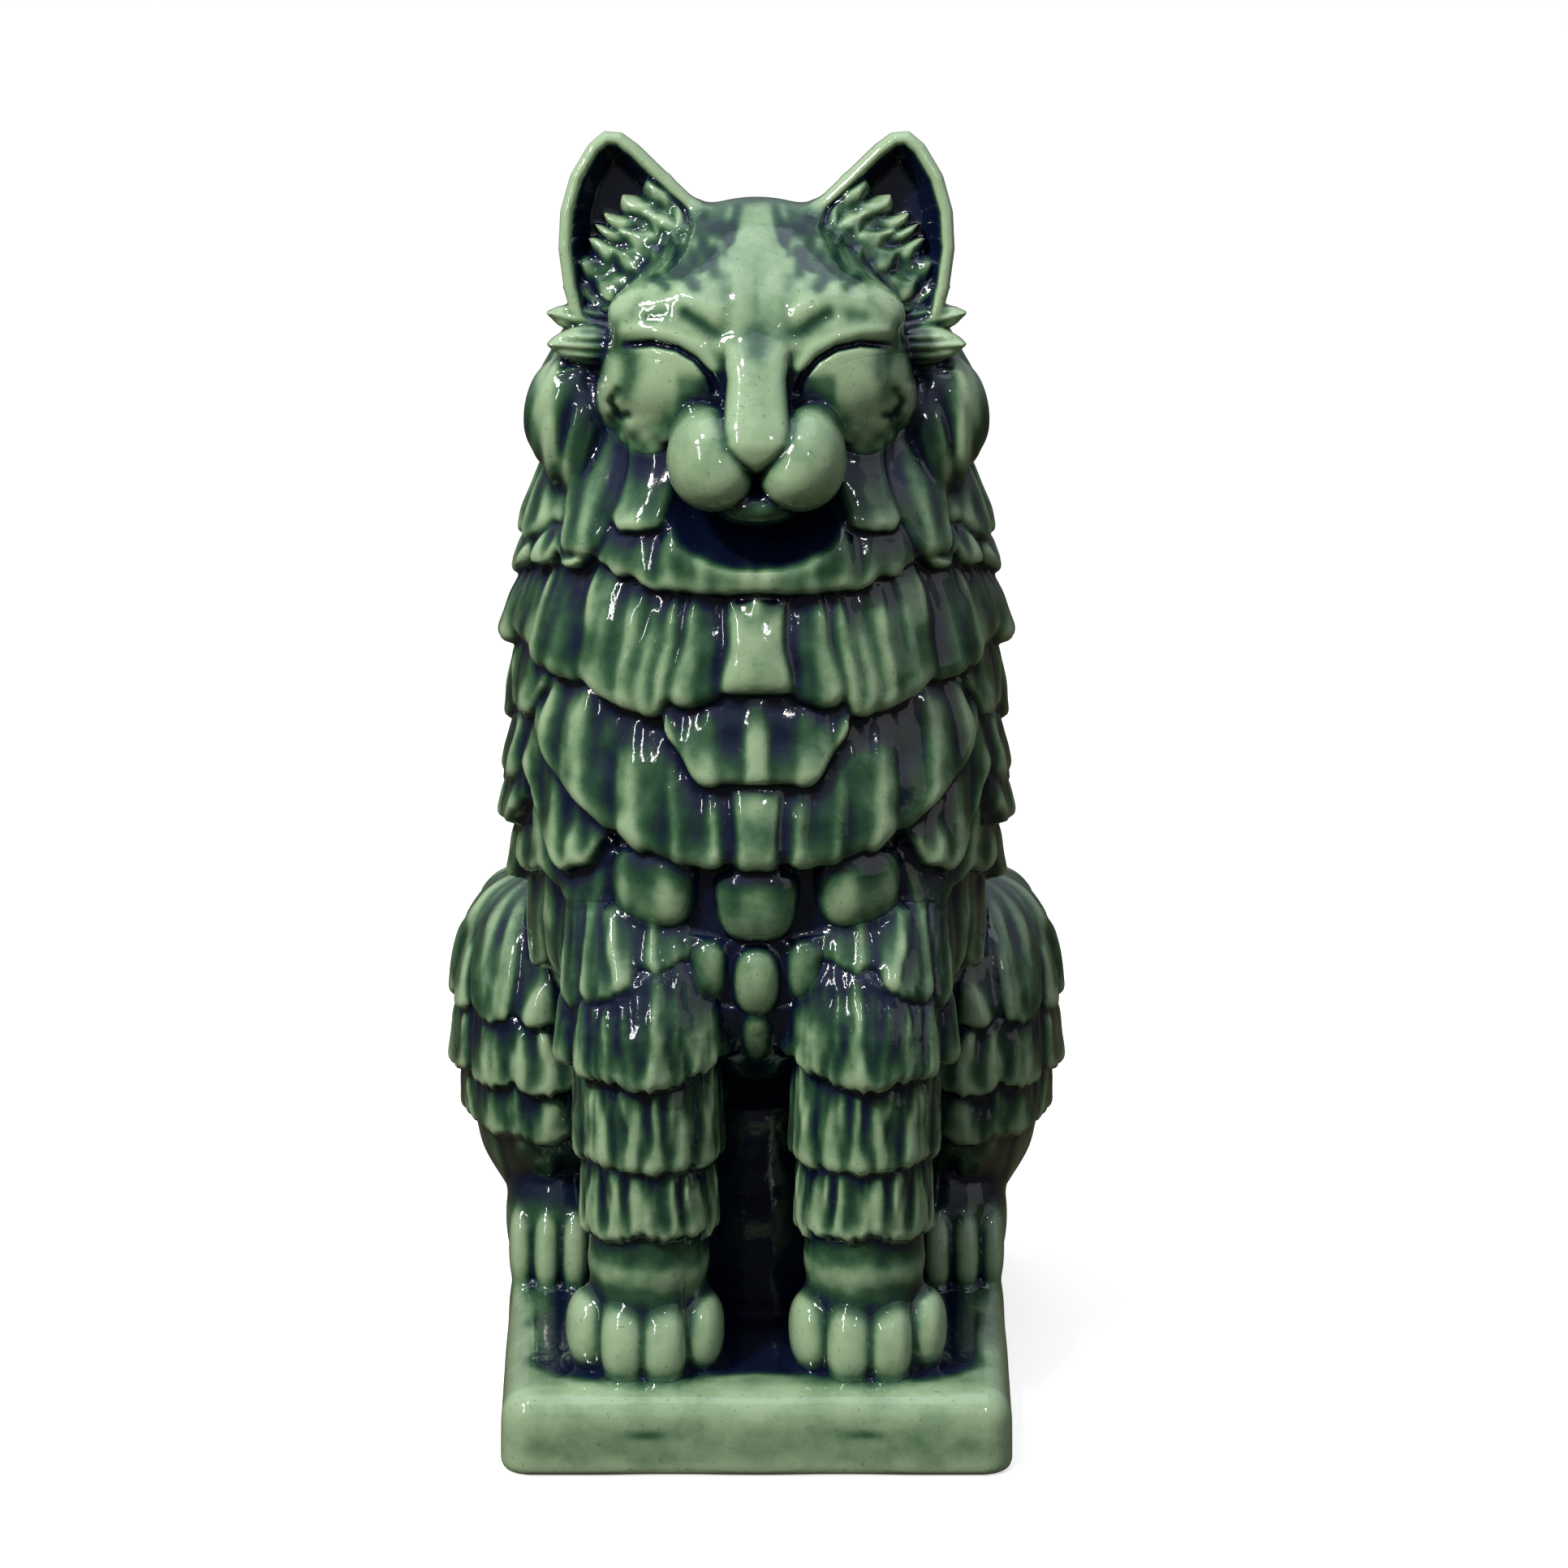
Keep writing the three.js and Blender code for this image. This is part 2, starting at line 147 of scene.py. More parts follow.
class Coat:
    """How far fur stands off a limb, how its glaze is shaded, and which node each part belongs to.
    Angles are degrees from the front. section(z) gives centre x and y, half width, half depth."""

    def __init__(self, low, high, section, around=180, owner="", shade=0.0):
        self.full = around > 180
        self.angle = np.arange(-180 if self.full else 0, 180.01, COAT_STEP)
        self.z = np.arange(low, high, COAT_STEP)
        self.section = section
        self.a, self.zz = np.meshgrid(self.angle, self.z, indexing="ij")
        self.height = np.zeros(self.a.shape, F)
        self.shade = np.full(self.a.shape, shade, F)
        self.owners = [owner]
        self.owner = np.zeros(self.a.shape, int)
        self.bare = np.ones(self.a.shape, bool)
        self.above = np.full(self.a.shape, high + 10.0, F)
        self.seed = 0

    def tier(self, owner, edge, tongues, ridges, lip=8, rise=2, flare=1.0, round_=3.5, furrow=1.0,
        wander=1.6, tip=2.2,
             cover=(-181, 181), pale=0.4, part=0.8, tint=0.0, combs=0.8):
        """One row of locks below the last one. edge is (angle, z) points, tongues are (angle,
        half width, drop, crown) and ridges are (angle, 0 for a furrow to 1 for a ridge)."""
        self.seed += 1
        drift = wander * cloud(self.a / 20 + 9 * self.seed, self.zz / 15, self.seed)
        a = self.a + drift
        span = self.angle
        drop, crown, seam = np.zeros(span.shape), np.zeros(span.shape), np.full(span.shape, 1.0)
        for at, half, fall, swell in tongues:
            u = np.abs((span - at + 180) % 360 - 180) / half
            inside = np.clip(1 - u ** tip, 0, 1)
            drop = np.maximum(drop, fall * inside)
            crown = np.maximum(crown, swell * np.clip(1 - u * u, 0, 1))
            seam = np.minimum(seam, np.clip(u, 0, 1))
        edge_here = curve(edge, self.a) - np.interp(a, span, drop)
        edge_here += 0.9 * cloud(self.a / 3.4, self.zz * 0 + self.seed, 40 + self.seed)
        top = self.above
        t = np.clip((top + 4 - self.zz) / np.maximum(top + 4 - edge_here, 3), 0, 1)
        ridge = np.clip(wave(ridges, a), 0, 1.2) ** (1 + 0.8 * (1 - t))
        gap = smooth((np.interp(a, span, seam) - 0.7) / 0.3)
        height = rise + (lip - rise) * np.sin(1.45 * t) ** flare + np.interp(a, span, crown) * (0.2
            + 0.8 * t)
        height -= furrow * (1 - ridge) * smooth((top - self.zz) / 4)
        height -= part * gap * t
        comb = cloud(self.a / 2.1, self.zz / 14 + self.seed, 20 + self.seed)
        height += combs * comb * np.exp(-np.clip(top - self.zz, 0, 40) / 8)
        low = np.clip(1 - (self.zz - edge_here) / round_, 0, 1)
        height -= round_ * 0.85 * (1 - np.sqrt(1 - low * low))
        height -= 1.2 * np.exp(-np.clip(top - self.zz, 0, 20) / 1.5)
        height += 0.5 * cloud(self.a / 5 + 5, self.zz / 7, 70 + self.seed)
        patch = cloud(self.a / 9 + 3 * self.seed, self.zz / 13, 110 + self.seed)
        # painted shade: below dims the pale ridges towards the bottom of the figure and lifts the
        # furrows a little
        below = smooth((195 - self.zz) / 50)
        shade = -0.42 + (1.3 - 0.2 * below) * ridge * (0.78 + 0.45 * patch) + tint + 0.12 * below
        shade += pale * np.exp(-np.clip(self.zz - edge_here, 0, 30) / 3.5) * (1 - 0.7 * gap)
        # painted shade: darker just under the row above, where its lip overhangs, and in the
        # partings between locks
        shade -= 0.9 * np.exp(-np.clip(top - self.zz, 0, 30) / 4.0) + 0.5 * part * gap * t
        shade += 0.45 * cloud(self.a / 6, self.zz / 9, 90 + self.seed) + 0.25 * comb
        mine = self.bare & (self.zz >= edge_here) & (self.a >= cover[0]) & (self.a <= cover[1])
        self.height[mine] = height[mine]
        self.shade[mine] = np.clip(shade, -1.2, 1.2)[mine]
        if owner not in self.owners:
            self.owners.append(owner)
        self.owner[mine] = self.owners.index(owner)
        self.bare &= ~mine
        covered = (self.a >= cover[0]) & (self.a <= cover[1])
        self.above = np.where(covered, np.minimum(self.above, np.maximum(edge_here, self.z[0])),
            self.above).astype(F)

    def pillow(self, owner, at, z, half, tall, height, shade, power=3.0, rim=0.0):
        """A rounded pad, at an angle and a height, on what is there."""
        u = np.abs((self.a - at + 180) % 360 - 180) / (half * (1
            + 0.1 * np.clip((self.zz - z) / tall, -1, 1)))
        v = np.abs(self.zz - z) / tall
        inside = np.clip(1 - (u ** power + v ** power), 0, 1)
        pad = height * inside ** 0.5
        mine = (inside > 0) & (pad > self.height)
        self.height[mine] = pad[mine]
        # painted shade: a pad darkens towards its top, which is tucked under the row above; the
        # cloud gives its streaks
        streaks_and_top_shade = 0.4 * cloud(self.a / 2.6, self.zz / 12, 120
            + int(z)) - 0.55 * smooth((self.zz - z) / tall)
        self.shade[mine] = (shade + streaks_and_top_shade + rim * np.exp(-inside * 6))[mine]
        self.owner[mine] = self.owners.index(owner)
        self.bare &= ~mine

    def finish(self):
        self.height = soften(self.height, 1, 1)
        self.height = soften(self.height, 1, 0, self.full)
        self.shade = soften(soften(self.shade, 1, 1), 1, 0, self.full)
        self.outside = {}
        for i, name in enumerate(self.owners):
            mine = soften(soften((self.owner == i).astype(F), 5, 1), 3, 0, self.full)
            self.outside[name] = (0.5 - mine) * 8

    def look(self, field, a, z):
        """A field's value at an angle and a height."""
        fa = np.clip((a - self.angle[0]) / COAT_STEP, 0, len(self.angle) - 1.001)
        fz = np.clip((z - self.z[0]) / COAT_STEP, 0, len(self.z) - 1.001)
        ia, iz = fa.astype(np.int32), fz.astype(np.int32)
        fa, fz = (fa - ia).astype(F), (fz - iz).astype(F)
        low = field[ia, iz] * (1 - fa) + field[ia + 1, iz] * fa
        high = field[ia, iz + 1] * (1 - fa) + field[ia + 1, iz + 1] * fa
        return low * (1 - fz) + high * fz

    def unroll(self, x, y, z):
        """Angle in degrees, and how far out from the limb's wall."""
        cx, cy, half, depth = (v.astype(F) for v in self.section(z))
        dx, dy = x - cx, y - cy
        ratio = np.sqrt((dx / half) ** 2 + (dy / depth) ** 2) + 1e-5
        out = np.sqrt(dx * dx + dy * dy) * (1 - 1 / ratio)
        return np.degrees(np.arctan2(dx / half, -dy / depth)), out


def locks(start, end, count, drop, crown, seed):
    """Locks of uneven width side by side."""
    rng = np.random.default_rng(seed)
    widths = rng.uniform(0.75, 1.25, count)
    widths *= (end - start) / widths.sum()
    at = start + np.cumsum(widths) - widths / 2
    return [(c, w * 0.54, drop * rng.uniform(0.6, 1.2), crown * rng.uniform(0.8, 1.2)) for c,
        w in zip(at, widths)]


def stripes(start, end, step, seed, low=0.0, high=1.0):
    """Ridges and furrows in turn."""
    rng = np.random.default_rng(seed)
    points, at, up = [], start, True
    while at < end:
        points.append((at, (high if up else low) + rng.uniform(-0.15, 0.15)))
        at += step * rng.uniform(0.6, 1.4)
        up = not up
    return points


# ---- Solid shapes as distance fields ----
def turned(x, y, z, centre, turn):
    """Coordinates in a frame turned by degrees about X, then Y, then Z."""
    x, y, z = x - centre[0], y - centre[1], z - centre[2]
    for axis, angle in ((2, -turn[2]), (1, -turn[1]), (0, -turn[0])):
        c, s = math.cos(math.radians(angle)), math.sin(math.radians(angle))
        if angle == 0:
            continue
        if axis == 0:
            y, z = c * y - s * z, s * y + c * z
        elif axis == 1:
            x, z = c * x + s * z, -s * x + c * z
        else:
            x, y = c * x - s * y, s * x + c * y
    return x, y, z


def ball(x, y, z, centre, radii, turn=(0, 0, 0)):
    x, y, z = turned(x, y, z, centre, turn)
    k0 = np.sqrt((x / radii[0]) ** 2 + (y / radii[1]) ** 2 + (z / radii[2]) ** 2) + 1e-6
    k1 = np.sqrt((x / radii[0] ** 2) ** 2 + (y / radii[1] ** 2) ** 2
        + (z / radii[2] ** 2) ** 2) + 1e-6
    return k0 * (k0 - 1) / k1


def lock(x, y, z, points, radii, k):
    """A tapered tongue along a line of points."""
    whole = None
    for (a, b), (ra, rb) in zip(zip(points, points[1:]), zip(radii, radii[1:])):
        a, b = np.array(a, float), np.array(b, float)
        d = b - a
        px, py, pz = x - a[0], y - a[1], z - a[2]
        t = np.clip((px * d[0] + py * d[1] + pz * d[2]) / (d @ d), 0, 1)
        dist = np.sqrt((px - t * d[0]) ** 2 + (py - t * d[1]) ** 2 + (pz - t * d[2]) ** 2)
        dist = dist - (ra + (rb - ra) * t)
        whole = dist if whole is None else smin(whole, dist, k)
    return whole


# ---- Torso ----
TORSO = [(24, 24, 56, 56), (62, 23, 58, 58), (100, 13, 60, 62), (122, 0, 64, 70), (140, -8, 68, 74),
    (165, -12, 71, 74),
         (200, -16, 72, 71), (240, -20, 71, 65), (266, -23, 67, 62), (284, -27, 63, 59), (302, -31,
             57, 49), (320, -34, 49, 33)]


def stack(rows):
    """A limb section from rows of height, centre y, half width, half depth."""
    rows = np.array(rows, float)
    fine = np.arange(rows[0, 0], rows[-1, 0], 0.5)
    columns = [soften(np.interp(fine, rows[:, 0], rows[:, k]).astype(F), 8, 0) for k in (1, 2, 3)]

    def section(z):
        return (np.zeros(np.shape(z)), *(np.interp(z, fine, c) for c in columns))
    return section


def side(x):
    """The angle at which the front of the torso reaches a distance from the middle."""
    return math.degrees(math.asin(min(x / 81.0, 1.0)))


def by_x(*numbers):
    """(angle, value) points from x, value, x, value and so on."""
    return [(side(x), value) for x, value in zip(numbers[::2], numbers[1::2])]


def torso_coat():
    coat = Coat(24, 322, stack(TORSO), owner="torso_shell", shade=-0.9)
    row = coat.tier
    row("mane_ruff",
        by_x(0, 330, 27, 330, 29, 296, 32, 288, 50, 288, 52, 284, 70, 284) + [(90, 282),
            (120, 280), (180, 278)],
        [(side(40), 9, 3, 3), (side(60), 11, 8, 3)] + locks(66, 180, 7, 6, 3, 1),
        by_x(0, .6, 30, .7, 35, .4, 39, .7, 43, .45, 47, .7, 50, .4, 53, .0, 57, .7, 62, .4,
            67, .9) + stripes(66, 181, 6, 2),
        lip=8, rise=4, flare=0.8, furrow=0.8, tint=-0.1, wander=3)
    # painted shade: the ruff's top darkens at the front, where it lies under the cheeks and chin
    coat.shade -= (0.9 * smooth((coat.zz - 294) / 12) * (coat.a < side(52))).astype(F)
    row("mane_ruff",
        by_x(0, 268, 22, 268.5, 32, 270, 40, 272, 52, 276, 62, 277, 72, 277) + [(90, 271),
            (120, 268), (180, 262)],
        [(0, 24, 1, 0), (side(33), 8, 2, 1), (side(45), 7, 2, 1)] + locks(42, 180, 9, 6, 2.5, 3),
        by_x(0, .15, 5, .4, 9, .1, 15, .15, 19, .5, 22, .2, 26, .0, 30, .5, 34, .05, 37, .6,
            40, .1, 44, .6, 48, .2, 54, .7) + stripes(46, 181, 5, 4),
        lip=9, rise=4, flare=0.7, furrow=1.0, round_=4)
    row("chest_band",
        by_x(0, 237.5, 10.3, 237.5, 11.8, 234, 25, 234, 27, 236, 30, 231, 34, 230, 42, 233,
            50, 238, 57, 239, 62, 241, 69, 243, 75, 246) + [(90, 250), (105, 244), (140, 238),
            (180, 232)],
        [(0, 7.3, 0.4, 1.6), (side(19), 5.5, 1, 1.0), (side(31), 5, 1, 1),
            (side(45), 10, 1.5, 1.4), (side(64), 9, 2, 1.6), (88, 12, 6, 3)]
            + locks(100, 180, 6, 8, 3, 5),
        by_x(0, 1, 8, 1, 12, .0, 15.5, 0, 19, .6, 22, .7, 24.5, .35, 27.5, .7, 30, .4, 33.5, .9,
            37, .6, 40, .85, 43, .5, 49, .95, 54, .75, 58, .1, 62, .6, 66, .2, 70, .8, 75, .3)
            + [(80, .8), (88, .4)] + stripes(94, 181, 6, 6),
        lip=10, rise=1.5, flare=0.6, furrow=1.7, round_=6, part=0.6, wander=0.9, combs=1.9)
    row("chest_band",
        by_x(0, 262, 60, 262, 66, 238, 72, 228, 78, 224) + [(90, 222), (104, 230), (110, 262)],
        [(side(72), 11, 3, 2), (92, 9, 4, 2)],
        by_x(60, .2, 66, .9, 70, .3, 73, .9, 77, .2) + stripes(78, 120, 6, 7),
        lip=7, rise=4.5, furrow=1.0, cover=(50, 125))
    row("chest_bib",
        by_x(0, 211, 17.5, 211, 20, 213, 28, 225, 30, 234, 31, 260),
        [(0, 14, 0.2, 1.2)],
        by_x(0, 1, 2.5, .9, 5.5, .0, 11, .15, 15, .75, 20, .7, 24, .3, 28, .8),
        lip=9.5, rise=3, flare=0.6, furrow=1.3, round_=4.5, cover=(-1, side(31)), part=0.1)
    swag = by_x(0, 185.5, 7, 185.5, 8.5, 187, 15, 186, 25, 188, 36, 190, 47, 195, 53, 202, 60, 208,
        65, 213, 69, 219, 71, 230, 73, 260)
    row("swag_band",
        swag + [(70, 262), (180, 262)],
        [(0, 6, 0.5, 1.4), (side(27), 14, 1, 1), (side(56), 12, 1.5, 1.3)],
        by_x(0, 1, 5, .95, 8, .1, 10.5, .2, 13, .7, 16, .15, 22, .0, 25, .55, 28, .0, 33, .25,
            38, .85, 41, .6, 45, .0, 50, .3, 54, 1, 58, .7, 61, .15, 65, .9, 70, .6),
        lip=10, rise=1, flare=0.6, furrow=1.9, round_=6.5, cover=(-1, side(73)), part=0.4)
    row("swag_band",
        by_x(0, 262, 44, 262, 47, 192, 52, 187, 60, 184, 67, 188, 71, 198, 74, 206) + [(75, 205),
            (90, 204), (110, 202), (180, 196)],
        [(side(60), 10, 4, 3), (77, 10, 3, 2)] + locks(88, 180, 7, 7, 3, 9),
        by_x(46, .1, 51, .9, 54, .3, 57, .9, 60, .3, 63, 1, 67, .2, 71, .8)
            + stripes(64, 181, 6, 10),
        lip=8, rise=4, furrow=1.3)
    row("swag_band",
        [(0, 262), (57, 262), (66, 198), (74, 191), (90, 190), (104, 193), (112, 262)],
        [(78, 10, 3, 2), (94, 9, 3, 2)],
        [(56, .3)] + stripes(62, 120, 6, 11),
        lip=9.5, rise=5, furrow=1.0, cover=(56, 114))
    # a dark recess, painted shade, holds three pads under the swag, and shadowed locks run on from
    # them
    row("rib_band",
        by_x(0, 162, 22, 164, 47, 169, 54, 171, 66, 172, 72, 176) + [(75, 176), (90, 173),
            (120, 166), (180, 162)],
        [(side(57), 8, 2, 2), (72, 9, 2, 1.5)] + locks(82, 180, 8, 7, 3, 13),
        by_x(0, -.3, 46, -.3, 51, .5, 55, .2, 60, .5, 65, .2) + stripes(62, 181, 6, 14),
        lip=6, rise=2, flare=0.7, furrow=1.0, round_=4, pale=.15)
    coat.height = np.where((coat.owner == coat.owners.index("rib_band")) & (coat.a < side(47)),
        -0.5, coat.height).astype(F)
    coat.pillow("rib_band", 0, 174.5, side(13.5), 12, 6.5, -0.25, power=3.2, rim=0.3)
    coat.pillow("rib_band", (side(20) + side(48)) / 2, 178, (side(48) - side(20)) / 2, 13, 7.5,
        0.15, power=3.0, rim=-0.3)
    # stripes on the pads, with painted shade darkening their tops under the swag
    striped = (coat.owner == coat.owners.index("rib_band")) & (coat.a < side(47))
    pads = 0.45 * wave(stripes(0, 60, 5, 39), coat.a) - 0.55 * smooth((coat.zz - 177) / 8) + 0.1
    coat.shade += np.where(striped, pads, 0).astype(F)
    row("belly_band",
        by_x(0, 139, 8, 142, 22, 146, 37, 151, 52, 154, 70, 150) + [(90, 146), (120, 134),
            (180, 126)],
        [(side(46), 6, 3, 2)] + locks(46, 180, 9, 7, 3, 15),
        by_x(0, .0, 40, .1, 44, .5, 48, .1) + stripes(40, 181, 6, 16, 0, .8),
        lip=4, rise=1, flare=0.8, furrow=1.0, round_=3, pale=.1)
    coat.pillow("belly_band", 0, 149.5, side(8.4), 12, 7, 0.5, power=2.3, rim=-0.9)
    coat.pillow("belly_band", side(16.5), 153, 5.0, 10.5, 6, 0.25, power=2.3, rim=-0.4)
    coat.pillow("belly_band", side(30.5), 156.5, 6, 9.5, 6, 0.2, power=2.3, rim=-0.3)
    coat.pillow("belly_band", side(43), 160, 5.5, 9, 6.5, 0.15, power=2.3, rim=-0.3)
    row("belly_drop",
        by_x(0, 112, 6, 115, 12, 121, 20, 130, 28, 138),
        [],
        [(0, .1), (12, .2)],
        lip=4.5, rise=2.5, furrow=.2, round_=3.5, cover=(-1, side(28)), pale=.1, part=0, tint=-.15)
    coat.pillow("belly_drop", 0, 131, side(6.2), 10.5, 6.5, 0.15, power=2.2, rim=-1.0)
    row("rump_band",
        [(0, 262), (84, 262), (92, 112), (120, 106), (180, 98)],
        locks(86, 180, 6, 9, 3, 17),
        [(80, .3)] + stripes(86, 181, 6, 18),
        lip=7, rise=3, furrow=1.3, cover=(88, 181))
    row("rump_band",
        [(0, 262), (84, 262), (92, 84), (120, 78), (180, 70)],
        locks(86, 180, 6, 8, 3, 19),
        [(80, .3)] + stripes(86, 181, 6, 20),
        lip=6, rise=2, furrow=1.3, cover=(88, 181))
    coat.finish()
    return coat


# ---- Limbs ----
LEG = middle("left_foreleg")


def foreleg_coat():
    cx, cy = LEG[0], LEG[1]

    def section(z):
        wide = np.interp(z, (46, 60, 100, 158, 175), (1.0, 1.04, 1.06, 1.16, 1.2))
        lean = np.interp(z, (110, 135, 150, 160, 176), (0, 1.2, 4.5, 8.5, 16))
        return np.full(np.shape(z), cx), np.full(np.shape(z), cy) + lean, 17.5 * wide, 18.5 * wide
    coat = Coat(24, 176, section, around=360, owner="left_foreleg", shade=0.2)
    row = coat.tier
    # painted shade: both elbow rows carry a darker tint, for the chest's shadow on them
    row("left_elbow_fringe",
        [(-180, 158), (-70, 160), (-20, 157), (20, 150), (50, 144), (90, 146), (180, 156)],
        [(30, 22, 3, 2), (68, 16, 5, 2.5), (-20, 24, 2, 1)] + locks(88, 290, 6, 4, 2, 30),
        stripes(-180, 181, 13, 29),
        lip=5.5, rise=1, furrow=0.9, wander=6, round_=4, part=0.4, tint=-0.2)
    row("left_elbow_fringe",
        [(-180, 128), (-60, 127), (-40, 124), (-25, 121), (26, 121), (34, 124), (60, 125),
            (90, 128), (180, 130)],
        [(0, 30, 3, 2), (46, 19, 4, 2.5), (84, 17, 6, 3), (-48, 20, 3, 2)]
            + locks(102, 300, 6, 4, 2, 31),
        [(-180, .5), (-60, .2), (-42, .7), (-30, .8), (-18, .1), (-8, .7), (-2, .9), (5, .1),
            (14, .05), (20, .55), (27, .9), (38, .0), (46, .6), (52, .9), (62, .2), (74, .3),
            (84, 1), (96, .3)] + stripes(104, 181, 9, 32),
        lip=7.5, rise=4.5, flare=0.9, furrow=1.0, round_=5, wander=5, part=0.5, tint=-0.25)
    row("left_forearm_fringe",
        [(-180, 93), (-60, 93), (0, 91.5), (70, 94), (180, 94)],
        [(0, 60, 0.6, 0.8), (-62, 18, 1.5, 1), (74, 20, 1.5, 1)] + locks(94, 290, 5, 3, 1.5, 33),
        [(-180, .5), (-78, .2), (-66, .8), (-56, .9), (-41, .1), (-29, .9), (-23, .5), (-18, -.3),
            (-12, .9), (-4, 1), (2, .05), (6, .0), (11, 1), (19, .9), (26, .0), (33, .0), (40, 1),
            (52, 1), (60, .2), (68, .7), (76, .1), (86, .8)] + stripes(94, 181, 9, 34),
        lip=4.6, rise=3, flare=1.2, furrow=0.7, round_=4, wander=9, part=0.2)
    row("left_wrist_fringe",
        [(-180, 72), (-60, 70), (-30, 72), (0, 73.5), (25, 71), (60, 71), (180, 72)],
        [(-66, 12, 3, .5), (-40, 18, 1.5, .5), (-14, 16, 2.6, .5), (14, 18, 1.4, .5),
            (42, 16, 3, .5), (70, 13, 3, .5)] + locks(84, 282, 7, 3, .6, 35),
        [(-180, .5), (-72, .9), (-62, .2), (-52, .8), (-38, .9), (-30, .1), (-20, 1), (-10, .2),
            (-2, .7), (8, .8), (14, .1), (26, 1), (38, .1), (48, .8), (58, .9), (66, .2),
            (74, .9)] + stripes(82, 181, 9, 36),
        lip=3.2, rise=2.2, flare=1.2, furrow=0.9, round_=3, wander=7, tip=1.6, part=0.1)
    ring = np.exp(-((coat.zz - 58) / 4.5) ** 2)
    coat.height += np.where(coat.bare, 0.7 * ring, 0).astype(F)
    bare = -0.1 + (0.75 + 0.5 * cloud(coat.a / 16, coat.zz / 8, 38)) * ring
    bare = bare - 1.2 * smooth((52 - coat.zz) / 6) - 0.2 * smooth((coat.zz - 63) / 6)
    bare = bare + 0.35 * cloud(coat.a / 15, coat.zz / 3, 37)
    coat.shade = np.where(coat.bare, bare, coat.shade).astype(F)
    coat.finish()
    return coat


def haunch_coat():
    low, high = box("left_haunch")
    cx, cy, cz = 68.0, (low[1] + high[1]) / 2, (low[2] + high[2]) / 2
    half, depth, tall = 28.0, (high[1] - low[1]) / 2, (high[2] - low[2]) / 2

    def section(z):
        u = np.clip(np.abs(z - cz) / (tall + 1), 0, 0.985)
        power = np.where(z > cz, 2.9, 2.1)
        share = (1 - u ** power) ** (1 / power)
        long = np.where(z > cz, share, (1 - u ** 3.2) ** (1 / 3.2))
        back = 9 * smooth((84 - z) / 34)
        return np.full(np.shape(z), cx), cy + back, half * share, depth * long - back
    coat = Coat(24, 170, section, around=360, owner="left_haunch", shade=-0.1)
    row = coat.tier
    row("left_haunch_fringe_upper",
        [(-180, 122), (0, 122), (60, 121), (180, 122)],
        locks(-180, 180, 9, 6, 2.5, 41),
        stripes(-180, 181, 15, 42),
        lip=6.5, rise=1.5, flare=1.0, furrow=1.8, wander=17, part=0.7)
    row("left_haunch_fringe_middle",
        [(-180, 98), (0, 100), (90, 98), (180, 98)],
        locks(-180, 180, 9, 4, 1.5, 43),
        stripes(-180, 181, 10, 44),
        lip=6.5, rise=4, flare=0.9, furrow=1.0, wander=6, part=0.4)
    row("left_haunch_fringe_lower",
        [(-180, 80), (0, 81), (90, 80), (180, 80)],
        locks(-180, 180, 9, 3.5, 1.5, 45),
        stripes(-180, 181, 11, 46),
        lip=4.0, rise=2.5, flare=1.0, furrow=0.9, wander=6, part=0.4)
    folds = cloud(coat.a / 9, coat.zz / 16, 47)
    coat.height += np.where(coat.bare, 0.5 + 1.1 * folds, 0).astype(F)
    # painted shade: the bare haunch darkens towards its bottom, over the hind paw
    coat.shade = np.where(coat.bare, -0.2 + 0.55 * folds - 0.5 * smooth((56 - coat.zz) / 10),
        coat.shade).astype(F)
    coat.finish()
    return coat


def nape_coat():
    rows = [(296, -36, 61, 54), (312, -36, 62, 56), (322, -36, 61, 55), (346, -38, 53, 50),
        (360, -38, 42, 41), (368, -38, 31, 31), (374, -38, 20, 20), (380, -38, 12, 12)]
    coat = Coat(296, 378, stack(rows), owner="nape_mane", shade=0.2)
    row = coat.tier
    for edge, seed in ((352, 51), (330, 53), (309, 55)):
        row("nape_mane",
            [(0, edge - 2), (90, edge), (180, edge + 3)],
            locks(20, 180, 9, 6, 3, seed),
            stripes(0, 181, 6, seed + 1),
            lip=6, rise=2, furrow=1.3, wander=3)
    row("nape_mane",
        [(0, 290), (180, 290)],
        locks(20, 180, 9, 2, 3, 57),
        stripes(0, 181, 6, 58),
        lip=6, rise=2, furrow=1.3)
    coat.finish()
    return coat


# ---- Head ----
SKULL = np.array((0.0, -44.0, 332.0))


def bent(points, at, blur=2.5):
    """A smoothed line through points."""
    points = np.array(sorted(points), float)
    fine = np.arange(points[0, 0] - 6, points[-1, 0] + 6, 0.25)
    line = np.interp(fine, points[:, 0], points[:, 1]).astype(F)
    return np.interp(at, fine, soften(line, blur / 0.5, 0))


def skull_shape(x, y, z):
    whole = ball(x, y, z, SKULL, (46, 44, 49))
    brow = ball(x, y, z, (21, -76, 345), (21, 9, 9), (0, -10, 0))
    return smin(whole, brow, 20)


def nose_shape(x, y, z):
    wide = bent([(300, 0), (303, 1.2), (306, 4.4), (309, 7.8), (312, 9.8), (316, 10.2), (322, 9.2),
        (330, 8.6), (336, 9.4), (341, 12), (346, 17), (352, 24)], z, 1.2)
    front = bent([(299, -97), (303, -102.5), (307, -106), (312, -107.5), (317, -106), (326, -101),
        (336, -95.5), (346, -88.5), (352, -84.5), (358, -81)], z, 2.5)
    return smax(smax(np.sqrt(x * x + 1) - wide, front - y + 0.02 * x * x, 5),
        smax(z - 352, 301 - z, 4), 4) * 0.9


def pad_shape(x, y, z):
    upper = ball(x, y, z, (14.6, -92, 308), (11.4, 14, 14.2), (0, -8, 0))
    inner = ball(x, y, z, (9.6, -94, 302.3), (8.4, 12.5, 8.6), (0, 30, 0))
    return smin(upper, inner, 9)


